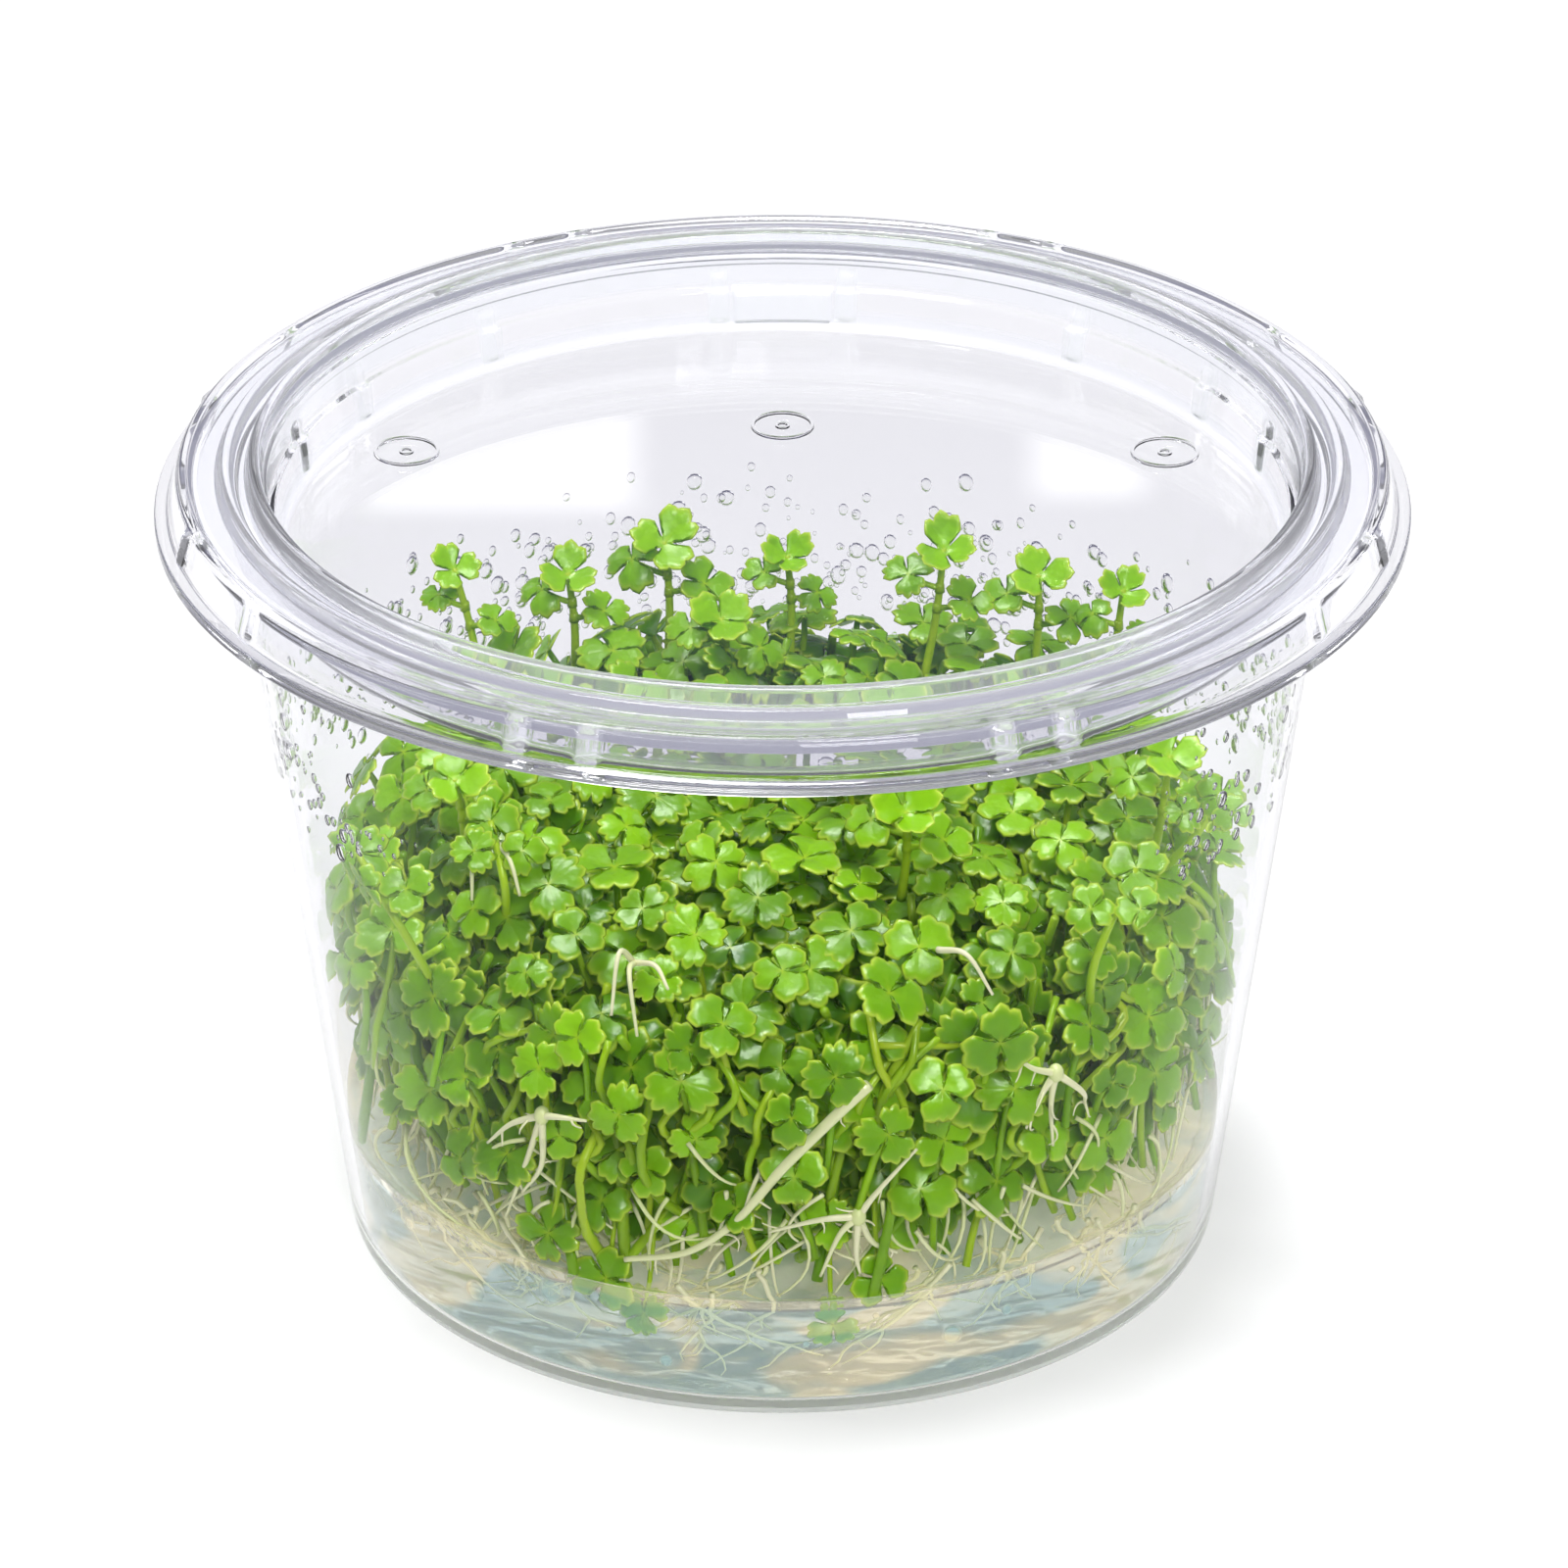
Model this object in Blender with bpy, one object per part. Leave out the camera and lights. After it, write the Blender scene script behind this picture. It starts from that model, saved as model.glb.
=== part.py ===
"""Pennywort growing on clear gel in a lidded see-through culture cup.

Metres, +Z up. The origin is the middle of the cup's flat underside, and -Y is the side
that the long pale runner climbs.
"""

import math
import random

import bmesh
import bpy
from mathutils import Matrix, Vector, noise

MM = 0.001
GAP = 0.3 * MM
SEGMENTS = 36

# Cup: a tapered wall, a flat floor and a flat rim that the lid sits on
CUP_BASE_RADIUS = 35.9 * MM
CUP_TAPER = 0.124
CUP_WALL = 0.9 * MM
CUP_FOOT_FILLET = 0.9 * MM
CUP_FOOT_SET_IN = 0.05 * MM
CUP_LIP_CHAMFER = 0.5 * MM
CUP_FLOOR_CHAMFER = 0.8 * MM
CUP_RIM_TOP = 66.1 * MM
CUP_RIM_RADIUS = 46.7 * MM

# Lid: a flange and skirt outside the rim, a crown over it and a sunk panel inside it
LID_WALL = 0.8 * MM
FLANGE_RADIUS = 50.0 * MM
FLANGE_BOTTOM = 63.3 * MM
FLANGE_TOP = 64.2 * MM
SKIRT_FOOT_RADIUS = 48.9 * MM
CROWN_RADIUS = 48.1 * MM
CROWN_TOP = 67.3 * MM
OUTER_BEAD_RADIUS = 44.3 * MM
INNER_BEAD_RADIUS = 42.1 * MM
LID_TOP = 68.4 * MM
RECESS_RADIUS = 41.3 * MM
LEDGE_HEIGHT = 63.8 * MM
PANEL_RADIUS = 39.7 * MM
PANEL_TOP = 60.4 * MM

# Lid's corners: how far its steps are cut off, fall or lean
LID_CHAMFER = 0.6 * MM
LID_FALL = 0.1 * MM
BEAD_HALF_WIDTH = 0.6 * MM
INNER_BEAD_EDGE = 0.5 * MM
OUTER_BEAD_HEIGHT = 0.4 * MM
RECESS_LEAN = 0.4 * MM
LEDGE_WIDTH = 0.5 * MM
LEDGE_FALL = 0.3 * MM
PANEL_CHAMFER = 0.5 * MM
PANEL_LEAN = 0.3 * MM

# Lid's under-skin: how far it stands behind the recess wall and inside the skirt
UNDER_PANEL_STEP = 1.2 * MM
UNDER_LEDGE = 0.7 * MM
UNDER_CROWN = 1.0 * MM

# Vents: thin rings standing on the panel, as (x, y, ring radius)
VENTS = (
    (-30.7 * MM, 15.4 * MM, 2.7 * MM),
    (0.0 * MM, 20.3 * MM, 2.6 * MM),
    (31.2 * MM, 15.2 * MM, 2.8 * MM),
)
VENT_RING = 0.4 * MM
VENT_SIDES = 14
DETAIL_SINK = 0.2 * MM

# Upright ribs, as degrees round the lid from the front (-Y), each on the left hand side too
SKIRT_RIBS = (20.0, 27.0, 57.5, 74.5, 105.5, 122.5, 152.0, 159.0)
RECESS_RIBS = (106.0, 121.5, 143.0, 172.5)
RIB_WIDTH = 1.2 * MM
RIB_DEPTH = 0.25 * MM
RIB_RIDGE = 0.6 * MM
RIB_ROOT = 0.35 * MM
RIB_FOOT_SINK = 0.3 * MM
SKIRT_RIB_TOP_SINK = 0.1 * MM
SKIRT_RIB_BELOW_CROWN = 0.9 * MM
RECESS_RIB_ABOVE_LEDGE = 1.2 * MM

# Stop: a low block on the recess wall, in the middle of the back
STOP_HALF_ANGLE = 5.6
STOP_SPANS = 2
STOP_BELOW_LEDGE = 0.5 * MM
STOP_FOOT_FACE = 38.7 * MM
STOP_FOOT_BACK = 40.3 * MM
STOP_TOP_FACE = 39.9 * MM
STOP_TOP_BACK = 41.2 * MM

# Gel: its foot is cut off and its edge is drawn up the wall
GEL_TOP = 10.5 * MM
GEL_FOOT_WIDTH = 1.2 * MM
GEL_FOOT_RISE = 1.0 * MM
MENISCUS_WIDTH = 1.2 * MM
MENISCUS_RISE = 0.6 * MM

# Leafy mat: a rounded mound with a lumpy skin. Shares run from 0 at its foot to 1 at its middle
MAT_BOTTOM = 11.6 * MM
MAT_SHOULDER = 33.5 * MM
MAT_TOP = 41.0 * MM
MAT_INSET = 3.0 * MM
MAT_LUMPS = 0.9 * MM
LUMPS_PER_METRE = 140.0
SIDE_SHARE = 0.56
SIDE_LIFT = 0.15
EDGE_LEAN = 0.9
MAT_COLUMNS = 32
MAT_LEVELS = (0.0, 0.14, 0.28, 0.42, 0.56, 0.60, 0.70, 0.82, 0.93)

# Leaves of the mat, a golden turn apart
MAT_LEAVES = 50
LEAF_SEED = 11
GOLDEN_TURN = 137.508
FIRST_LEAF_SHARE = 0.10
LEAF_SHARE_SPAN = 0.88
LEAF_RADIUS = 3.7 * MM
LEAF_SIZES = (0.85, 1.1)
LEAF_TILT = 0.25
LEAF_TILT_DOWN = 0.1
LEAF_RAISED = 0.7 * MM
LEAF_THICKNESS = 0.7 * MM
LEAF_CLEARANCE = 1.0 * MM
STALK_RADIUS = 0.35 * MM
STALK_SIDES = 4
STALK_SINK = 1.2 * MM

# Leaves behind the runner and the root crowns lie closer to the mat
FRONT_LEAF_RAISED = 0.3 * MM
FRONT_LEAF_REACH = 3.0 * MM

# Outline of a leaf: its lobes fill all but the notch at the stalk, and reaches are shares of its radius
LEAF_LOBES = 3
LEAF_SPREAD = 310.0
SHOULDER_PLACE = 0.40
SHOULDER_REACH = 0.86
CLEFT_REACH = 0.28

# Stems of the tall shoots, and the two side leaves of each as side and place on the upper stem
STEM_RADIUS = 0.45 * MM
STEM_SIDES = 5
STEM_SINK = 4.0 * MM
STEM_BOW = Vector((0.25, 0.35, 0.0)) * MM
SOCKET_SIDES = 6
SOCKET_CLEARANCE = 1.4 * GAP
TIP_FACING = Vector((0.1, -0.45, 1.0))
SIDE_LEAVES = ((1.0, 0.62), (-1.0, 0.84))
SIDE_STALK_REACH = 0.95
SIDE_LEAF_SIZE = 0.72
SHOOT_TURN = 1.9

# Tall shoots, as name, foot (x, y), tip (x, y, z) and leaf radius, all in millimetres
SHOOTS = (
    ("shoot_back_left_tall", (-9.6, 25.0), (-9.9, 26.5, 48.0), 3.4),
    ("shoot_back_right_tall", (11.6, 18.4), (13.4, 20.7, 50.0), 3.0),
    ("shoot_far_left", (-25.0, 20.2), (-27.4, 23.6, 46.5), 2.5),
    ("shoot_left_of_middle", (-17.4, 22.0), (-17.9, 23.2, 46.5), 2.9),
    ("shoot_back_middle", (0.6, 25.0), (0.4, 26.0, 46.5), 2.5),
    ("shoot_back_right", (20.8, 20.0), (21.3, 20.9, 47.5), 3.0),
    ("shoot_far_right", (26.4, 17.6), (28.3, 19.6, 46.5), 2.5),
    ("shoot_right_front", (29.2, -11.0), (30.6, -13.0, 49.0), 3.0),
    ("shoot_left_front", (-25.4, -10.6), (-26.0, -12.3, 46.5), 3.0),
    ("shoot_front_middle", (9.4, -17.0), (9.7, -19.4, 47.5), 3.2),
    ("shoot_middle", (-4.6, 14.4), (-5.1, 16.1, 46.0), 3.2),
)

# Runners and root crowns just inside the front wall, as degrees from the front and height in millimetres
RUNNER_ROUTE = (
    (10.1, 31.4), (6.0, 28.4), (0.2, 23.8), (-3.2, 20.6), (-6.5, 17.8), (-12.3, 14.8), (-20.4, 13.2),
)
RUNNER_RADIUS = 0.5 * MM
RUNNER_SIDES = 6
WALL_CLEARANCE = 0.3 * MM
ROOT_RADIUS = 0.32 * MM
ROOT_SIDES = 5
ROOT_BOW = 0.2 * MM
KNOB_RADIUS = 0.62 * MM
ROOT_CROWNS = (
    ("root_crown_middle", (9.4, 18.6), ((-1.6, 17.4), (9.9, 12.9), (16.4, 24.6), (4.8, 12.9), (14.6, 14.6))),
    ("root_crown_left", (-30.4, 25.6), ((-39.4, 20.9), (-37.8, 14.0), (-24.2, 26.2), (-34.6, 17.2))),
    ("root_crown_right", (34.6, 28.8), ((28.4, 31.6), (31.0, 24.2), (39.8, 24.6), (35.4, 21.6))),
)


CLEAR_BENDING = 1.49
CLEAR_VIEW_ALPHA = 0.35


def clear_skin(name, colour, roughness):
    """A clear moulded plastic or gel."""
    material = bpy.data.materials.new(name)
    material.use_nodes = True
    shader = material.node_tree.nodes["Principled BSDF"]
    shader.inputs["Base Color"].default_value = (*colour, 1.0)
    shader.inputs["Roughness"].default_value = roughness
    shader.inputs["IOR"].default_value = CLEAR_BENDING
    shader.inputs["Transmission Weight"].default_value = 1.0
    material.diffuse_color = (*colour, CLEAR_VIEW_ALPHA)
    return material


def plant_skin(name, colour, roughness):
    """A waxy green or pale plant surface."""
    material = bpy.data.materials.new(name)
    material.use_nodes = True
    shader = material.node_tree.nodes["Principled BSDF"]
    shader.inputs["Base Color"].default_value = (*colour, 1.0)
    shader.inputs["Roughness"].default_value = roughness
    material.diffuse_color = (*colour, 1.0)
    return material


def add_object(name, mesh, material, smooth_angle=30.0):
    """Put a mesh in the scene as one named object, with its round faces shaded smooth."""
    mesh.materials.clear()
    mesh.materials.append(material)
    mesh.shade_smooth()
    mesh.set_sharp_from_angle(angle=math.radians(smooth_angle))
    thing = bpy.data.objects.new(name, mesh)
    bpy.context.scene.collection.objects.link(thing)
    return thing


def mesh_from(name, bm):
    """Turn a bmesh into a mesh with its faces pointing out."""
    bmesh.ops.recalc_face_normals(bm, faces=bm.faces)
    mesh = bpy.data.meshes.new(name)
    bm.to_mesh(mesh)
    bm.free()
    return mesh


def turned(name, outline, segments):
    """Spin an outline of (radius, height) pairs, which starts and ends on the axis, into a closed solid."""
    bm = bmesh.new()
    points = [bm.verts.new((radius, 0.0, height)) for radius, height in outline]
    edges = [bm.edges.new(pair) for pair in zip(points, points[1:])]
    bmesh.ops.spin(
        bm,
        geom=points + edges,
        cent=(0.0, 0.0, 0.0),
        axis=(0.0, 0.0, 1.0),
        steps=segments,
        angle=math.tau,
    )
    bmesh.ops.remove_doubles(bm, verts=bm.verts, dist=0.001 * MM)
    return mesh_from(name, bm)


def helper(name, mesh):
    """An object that only shapes others: it is drawn as wire and never rendered."""
    thing = bpy.data.objects.new(name, mesh)
    thing.hide_render = True
    thing.display_type = "WIRE"
    bpy.context.scene.collection.objects.link(thing)
    return thing


def boolean(thing, other, operation, own_overlaps=False):
    """Add another mesh to an object, or cut it away, with the exact solver."""
    modifier = thing.modifiers.new(operation.title(), "BOOLEAN")
    modifier.operation = operation
    modifier.solver = "EXACT"
    modifier.use_self = own_overlaps
    modifier.object = other


def around(degrees, radius, height):
    """A point at an angle from the front (-Y), turning towards +X."""
    angle = math.radians(degrees)
    return Vector((math.sin(angle) * radius, -math.cos(angle) * radius, height))


def cup_outer_radius(height):
    return CUP_BASE_RADIUS + CUP_TAPER * height


def cup_inner_radius(height):
    return cup_outer_radius(height) - CUP_WALL


def smooth_route(points, steps):
    """A Catmull-Rom curve through the points, with a number of steps in each span."""
    points = [Vector(point) for point in points]
    padded = [2 * points[0] - points[1], *points, 2 * points[-1] - points[-2]]
    route = []
    for before, start, end, after in zip(padded, padded[1:], padded[2:], padded[3:]):
        for step in range(steps):
            t = step / steps
            route.append(0.5 * (2 * start + (end - before) * t
                                + (2 * before - 5 * start + 4 * end - after) * t * t
                                + (3 * start - before - 3 * end + after) * t ** 3))
    route.append(points[-1])
    return route


def add_tube(bm, route, start_radius, end_radius, sides):
    """Sweep a tapering tube along a route, closed at both ends."""
    side = Vector((0.37, 0.21, 0.9)).cross(route[1] - route[0]).normalized()
    rings = []
    for index, point in enumerate(route):
        ahead = route[min(index + 1, len(route) - 1)] - route[max(index - 1, 0)]
        side = (side - ahead * (side.dot(ahead) / ahead.length_squared)).normalized()
        other = ahead.normalized().cross(side)
        radius = start_radius + (end_radius - start_radius) * index / (len(route) - 1)
        rings.append([
            bm.verts.new(point + radius * (math.cos(turn) * side + math.sin(turn) * other))
            for turn in (math.tau * k / sides for k in range(sides))
        ])
    for lower, upper in zip(rings, rings[1:]):
        for k in range(sides):
            bm.faces.new((lower[k], lower[(k + 1) % sides], upper[(k + 1) % sides], upper[k]))
    bm.faces.new(reversed(rings[0]))
    bm.faces.new(rings[-1])


def leaf_outline(radius):
    """Points round a leaf: wedge-shaped leaflets with clefts between them and a notch at the stalk."""
    spread = math.radians(LEAF_SPREAD) / LEAF_LOBES
    outline = []
    for lobe in range(LEAF_LOBES):
        middle = (lobe - (LEAF_LOBES - 1) / 2) * spread
        cleft = middle + 0.5 * spread if lobe < LEAF_LOBES - 1 else math.pi
        corners = (
            (middle - SHOULDER_PLACE * spread, SHOULDER_REACH),
            (middle, 1.0),
            (middle + SHOULDER_PLACE * spread, SHOULDER_REACH),
            (cleft, CLEFT_REACH),
        )
        outline += [Vector((math.cos(angle), math.sin(angle), 0.0)) * radius * reach for angle, reach in corners]
    return outline


def leaf_place(centre, facing, heading):
    """Where a leaf lies: its tip towards heading and its upper side towards facing."""
    up = facing.normalized()
    ahead = (heading - up * heading.dot(up)).normalized()
    return Matrix.Translation(centre) @ Matrix((ahead, up.cross(ahead), up)).transposed().to_4x4()


def add_leaf(bm, centre, facing, heading, radius):
    """Add one closed leaf plate."""
    place = leaf_place(centre, facing, heading)
    half = Vector((0.0, 0.0, LEAF_THICKNESS / 2))
    outline = leaf_outline(radius)
    top = [bm.verts.new(place @ (point + half)) for point in outline]
    bottom = [bm.verts.new(place @ (point - half)) for point in outline]
    bm.faces.new(top)
    bm.faces.new(reversed(bottom))
    count = len(outline)
    for k in range(count):
        following = (k + 1) % count
        bm.faces.new((bottom[k], bottom[following], top[following], top[k]))


def make_cup(material):
    """The cup is one thin shell, open at the top, with a flat rim turned outward."""
    rim_bottom = CUP_RIM_TOP - CUP_WALL
    foot = CUP_BASE_RADIUS - CUP_FOOT_SET_IN
    lip = CUP_RIM_TOP - CUP_LIP_CHAMFER
    floor_edge = CUP_WALL + CUP_FLOOR_CHAMFER
    outline = [(0.0, 0.0), (foot - CUP_FOOT_FILLET, 0.0)]
    for turn in (45.0, 90.0):
        angle = math.radians(turn)
        outline.append((
            foot - CUP_FOOT_FILLET * (1.0 - math.sin(angle)),
            CUP_FOOT_FILLET * (1.0 - math.cos(angle)),
        ))
    outline += [
        (cup_outer_radius(rim_bottom), rim_bottom),
        (CUP_RIM_RADIUS, rim_bottom),
        (CUP_RIM_RADIUS, CUP_RIM_TOP),
        (cup_inner_radius(CUP_RIM_TOP) + CUP_LIP_CHAMFER, CUP_RIM_TOP),
        (cup_inner_radius(lip), lip),
        (cup_inner_radius(floor_edge), floor_edge),
        (cup_inner_radius(CUP_WALL) - CUP_FLOOR_CHAMFER, CUP_WALL),
        (0.0, CUP_WALL),
    ]
    return add_object("cup", turned("cup", outline, SEGMENTS), material)


def make_lid(material):
    """The lid is one moulding, with its ribs, the stop in its recess and its vent rings joined on."""
    panel_under = PANEL_TOP - LID_WALL
    crown_under = CROWN_TOP - LID_WALL
    crown_edge = CROWN_TOP - LID_CHAMFER
    ledge_radius = RECESS_RADIUS - RECESS_LEAN
    panel_wall = PANEL_RADIUS + PANEL_LEAN
    outline = [
        (0.0, panel_under),
        (PANEL_RADIUS + PANEL_CHAMFER, panel_under),
        (PANEL_RADIUS + UNDER_PANEL_STEP, PANEL_TOP - LID_FALL),
        (RECESS_RADIUS + UNDER_LEDGE, LEDGE_HEIGHT),
        (RECESS_RADIUS + UNDER_CROWN, crown_under),
        (CROWN_RADIUS - UNDER_PANEL_STEP, crown_under),
        (SKIRT_FOOT_RADIUS - LID_WALL, FLANGE_BOTTOM),
        (FLANGE_RADIUS, FLANGE_BOTTOM),
        (FLANGE_RADIUS, FLANGE_TOP),
        (SKIRT_FOOT_RADIUS, FLANGE_TOP + LID_FALL),
        (CROWN_RADIUS, crown_edge),
        (CROWN_RADIUS - LID_CHAMFER, CROWN_TOP),
        (OUTER_BEAD_RADIUS + BEAD_HALF_WIDTH, CROWN_TOP - LID_FALL),
        (OUTER_BEAD_RADIUS, CROWN_TOP + OUTER_BEAD_HEIGHT),
        (OUTER_BEAD_RADIUS - BEAD_HALF_WIDTH, CROWN_TOP),
        (INNER_BEAD_RADIUS + BEAD_HALF_WIDTH, CROWN_TOP + LID_FALL),
        (INNER_BEAD_RADIUS, LID_TOP),
        (INNER_BEAD_RADIUS - INNER_BEAD_EDGE, LID_TOP - LID_FALL),
        (RECESS_RADIUS, crown_edge),
        (ledge_radius, LEDGE_HEIGHT),
        (ledge_radius - LEDGE_WIDTH, LEDGE_HEIGHT - LEDGE_FALL),
        (panel_wall, PANEL_TOP + PANEL_CHAMFER),
        (panel_wall - PANEL_CHAMFER, PANEL_TOP),
        (0.0, PANEL_TOP),
    ]
    lid = add_object("lid", turned("lid", outline, SEGMENTS), material)
    details = bmesh.new()
    for side in (-1.0, 1.0):
        for degrees in SKIRT_RIBS:
            foot = around(side * degrees, SKIRT_FOOT_RADIUS - DETAIL_SINK, FLANGE_TOP - RIB_FOOT_SINK)
            top = around(side * degrees, CROWN_RADIUS - SKIRT_RIB_TOP_SINK, CROWN_TOP - SKIRT_RIB_BELOW_CROWN)
            add_rib(details, foot, top, 1.0)
        for degrees in RECESS_RIBS:
            foot = around(side * degrees, PANEL_RADIUS + PANEL_CHAMFER, PANEL_TOP - RIB_FOOT_SINK)
            top = around(side * degrees, RECESS_RADIUS, LEDGE_HEIGHT + RECESS_RIB_ABOVE_LEDGE)
            add_rib(details, foot, top, -1.0)
    add_stop(details)
    for x, y, radius in VENTS:
        add_vent_ring(details, x, y, radius)
    boolean(lid, helper("lid_details", mesh_from("lid_details", details)), "UNION")
    return lid


def add_rib(bm, foot, top, out):
    """A small upright rib with a ridge, rooted in its wall. out is 1 away from the lid's axis, -1 towards it."""
    outward = Vector((foot.x, foot.y, 0.0)).normalized() * out
    sideways = outward.cross(Vector((0.0, 0.0, 1.0)))
    half = 0.5 * RIB_WIDTH
    section = ((-half, -RIB_ROOT), (half, -RIB_ROOT), (half, RIB_DEPTH), (0.0, RIB_RIDGE), (-half, RIB_DEPTH))
    lower, upper = (
        [bm.verts.new(end + sideways * across + outward * proud) for across, proud in section]
        for end in (foot, top)
    )
    for k in range(len(section)):
        following = (k + 1) % len(section)
        bm.faces.new((lower[k], lower[following], upper[following], upper[k]))
    bm.faces.new(reversed(lower))
    bm.faces.new(upper)


def add_stop(bm):
    """A low block that stands in from the recess wall, following its curve, at the middle of the back."""
    foot = PANEL_TOP - DETAIL_SINK
    top = LEDGE_HEIGHT - STOP_BELOW_LEDGE
    section = (
        (STOP_FOOT_BACK, foot),
        (STOP_TOP_BACK, top),
        (STOP_TOP_FACE, top),
        (STOP_FOOT_FACE, foot),
    )
    rings = []
    for k in range(STOP_SPANS + 1):
        degrees = 180.0 + STOP_HALF_ANGLE * (2.0 * k / STOP_SPANS - 1.0)
        rings.append([bm.verts.new(around(degrees, radius, height)) for radius, height in section])
    for here, there in zip(rings, rings[1:]):
        for corner in range(4):
            following = (corner + 1) % 4
            bm.faces.new((here[corner], here[following], there[following], there[corner]))
    bm.faces.new(reversed(rings[0]))
    bm.faces.new(rings[-1])


def add_vent_ring(bm, x, y, radius):
    """A square-edged ring standing on the panel, with its foot sunk in."""
    section = [
        (radius - VENT_RING, PANEL_TOP - DETAIL_SINK),
        (radius, PANEL_TOP - DETAIL_SINK),
        (radius, PANEL_TOP + VENT_RING),
        (radius - VENT_RING, PANEL_TOP + VENT_RING),
    ]
    rings = []
    for k in range(VENT_SIDES):
        angle = math.tau * (k + 0.5) / VENT_SIDES
        rings.append([
            bm.verts.new((x + math.cos(angle) * reach, y + math.sin(angle) * reach, height))
            for reach, height in section
        ])
    for k in range(VENT_SIDES):
        here = rings[k]
        there = rings[(k + 1) % VENT_SIDES]
        for corner in range(4):
            following = (corner + 1) % 4
            bm.faces.new((here[corner], here[following], there[following], there[corner]))


def make_gel(material):
    """A disc of clear gel that fills the foot of the cup, with its edge drawn up the wall a little."""
    floor = CUP_WALL + GAP
    foot_edge = floor + GEL_FOOT_RISE
    wall_edge = GEL_TOP + MENISCUS_RISE
    outline = [
        (0.0, floor),
        (cup_inner_radius(floor) - GEL_FOOT_WIDTH, floor),
        (cup_inner_radius(foot_edge) - GAP, foot_edge),
        (cup_inner_radius(wall_edge) - GAP, wall_edge),
        (cup_inner_radius(GEL_TOP) - MENISCUS_WIDTH, GEL_TOP),
        (0.0, GEL_TOP),
    ]
    return add_object("gel", turned("gel", outline, SEGMENTS), material)


def mat_height(radius):
    """How high the top of the mat is at a distance from the axis: a low dome that rolls over at its edge."""
    edge = cup_inner_radius(MAT_SHOULDER) - MAT_INSET
    return MAT_SHOULDER + (MAT_TOP - MAT_SHOULDER) * math.sqrt(1.0 - min(radius / edge, 1.0) ** 4)


def mat_surface(degrees, share):
    """A point on the leafy mat, and the way that it faces. share is 0 at the mat's foot and 1 at its
    middle, and equal steps of it cover about equal areas."""
    edge = cup_inner_radius(MAT_SHOULDER) - MAT_INSET
    if share < SIDE_SHARE:
        height = MAT_BOTTOM + (MAT_SHOULDER - MAT_BOTTOM) * share / SIDE_SHARE
        radius = cup_inner_radius(height) - MAT_INSET
        facing = around(degrees, 1.0, SIDE_LIFT)
    else:
        outward = math.sqrt((1.0 - share) / (1.0 - SIDE_SHARE))
        radius = edge * outward
        height = mat_height(radius)
        facing = around(degrees, EDGE_LEAN * outward ** 3, 1.0)
    point = around(degrees, radius, height)
    lump = noise.noise(point * LUMPS_PER_METRE) - 0.5
    return point + facing.normalized() * MAT_LUMPS * lump, facing.normalized()


def past_cup_wall(point):
    """How far a point is outside the cup's inner wall; less than nothing when it is inside."""
    return point.xy.length - cup_inner_radius(point.z)


def distance_to(point, route):
    return min((point - other).length for other in route)


def make_leaf_mat(material, stem_points, front_points):
    """The packed low leaves and stems: a lumpy mound with three-lobed leaves standing out all over it."""
    bm = bmesh.new()
    turns = [360.0 * k / MAT_COLUMNS for k in range(MAT_COLUMNS)]
    rings = [[bm.verts.new(mat_surface(turn, share)[0]) for turn in turns] for share in MAT_LEVELS]
    for lower, upper in zip(rings, rings[1:]):
        for k in range(MAT_COLUMNS):
            following = (k + 1) % MAT_COLUMNS
            bm.faces.new((lower[k], lower[following], upper[following], upper[k]))
    bm.faces.new(reversed(rings[0]))
    crest = bm.verts.new(mat_surface(0.0, 1.0)[0])
    for k in range(MAT_COLUMNS):
        bm.faces.new((rings[-1][k], rings[-1][(k + 1) % MAT_COLUMNS], crest))
    leaf_mat = add_object("leaf_mat", mesh_from("leaf_mat", bm), material)

    rng = random.Random(LEAF_SEED)
    leaves = bmesh.new()
    for index in range(MAT_LEAVES):
        share = FIRST_LEAF_SHARE + LEAF_SHARE_SPAN * (index + 0.5) / MAT_LEAVES
        point, facing = mat_surface(GOLDEN_TURN * index, share)
        heading = Vector((rng.uniform(-1, 1), rng.uniform(-1, 1), rng.uniform(-1, 1)))
        tilt = Vector((
            rng.uniform(-LEAF_TILT, LEAF_TILT),
            rng.uniform(-LEAF_TILT, LEAF_TILT),
            rng.uniform(-LEAF_TILT_DOWN, LEAF_TILT),
        ))
        size = LEAF_RADIUS * rng.uniform(*LEAF_SIZES)
        raised = LEAF_RAISED
        if distance_to(point, stem_points) < size + STEM_RADIUS + GAP:
            continue
        if distance_to(point, front_points) < size + FRONT_LEAF_REACH:
            tilt = Vector((0.0, 0.0, 0.0))
            raised = FRONT_LEAF_RAISED
        middle = point + facing * raised
        place = leaf_place(middle, facing + tilt, heading)
        excess = max(past_cup_wall(place @ corner) for corner in leaf_outline(size)) + LEAF_CLEARANCE
        if excess > 0.0:
            middle -= around(GOLDEN_TURN * index, excess, 0.0)
        stalk_foot = point - facing * STALK_SINK
        add_tube(leaves, [stalk_foot, middle], STALK_RADIUS, STALK_RADIUS, STALK_SIDES)
        add_leaf(leaves, middle, facing + tilt, heading, size)
    boolean(leaf_mat, helper("leaf_mat_leaves", mesh_from("leaf_mat_leaves", leaves)), "UNION", own_overlaps=True)
    return leaf_mat


def sink_stems(leaf_mat, stem_routes):
    """Cut a socket in the mat for the foot of each tall shoot, wider than its stem by the gap."""
    sockets = bmesh.new()
    radius = STEM_RADIUS + SOCKET_CLEARANCE
    for route in stem_routes:
        start = route[0] - (route[1] - route[0]).normalized() * GAP
        add_tube(sockets, [start, *route[1:]], radius, radius, SOCKET_SIDES)
    boolean(leaf_mat, helper("stem_sockets", mesh_from("stem_sockets", sockets)), "DIFFERENCE")


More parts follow.
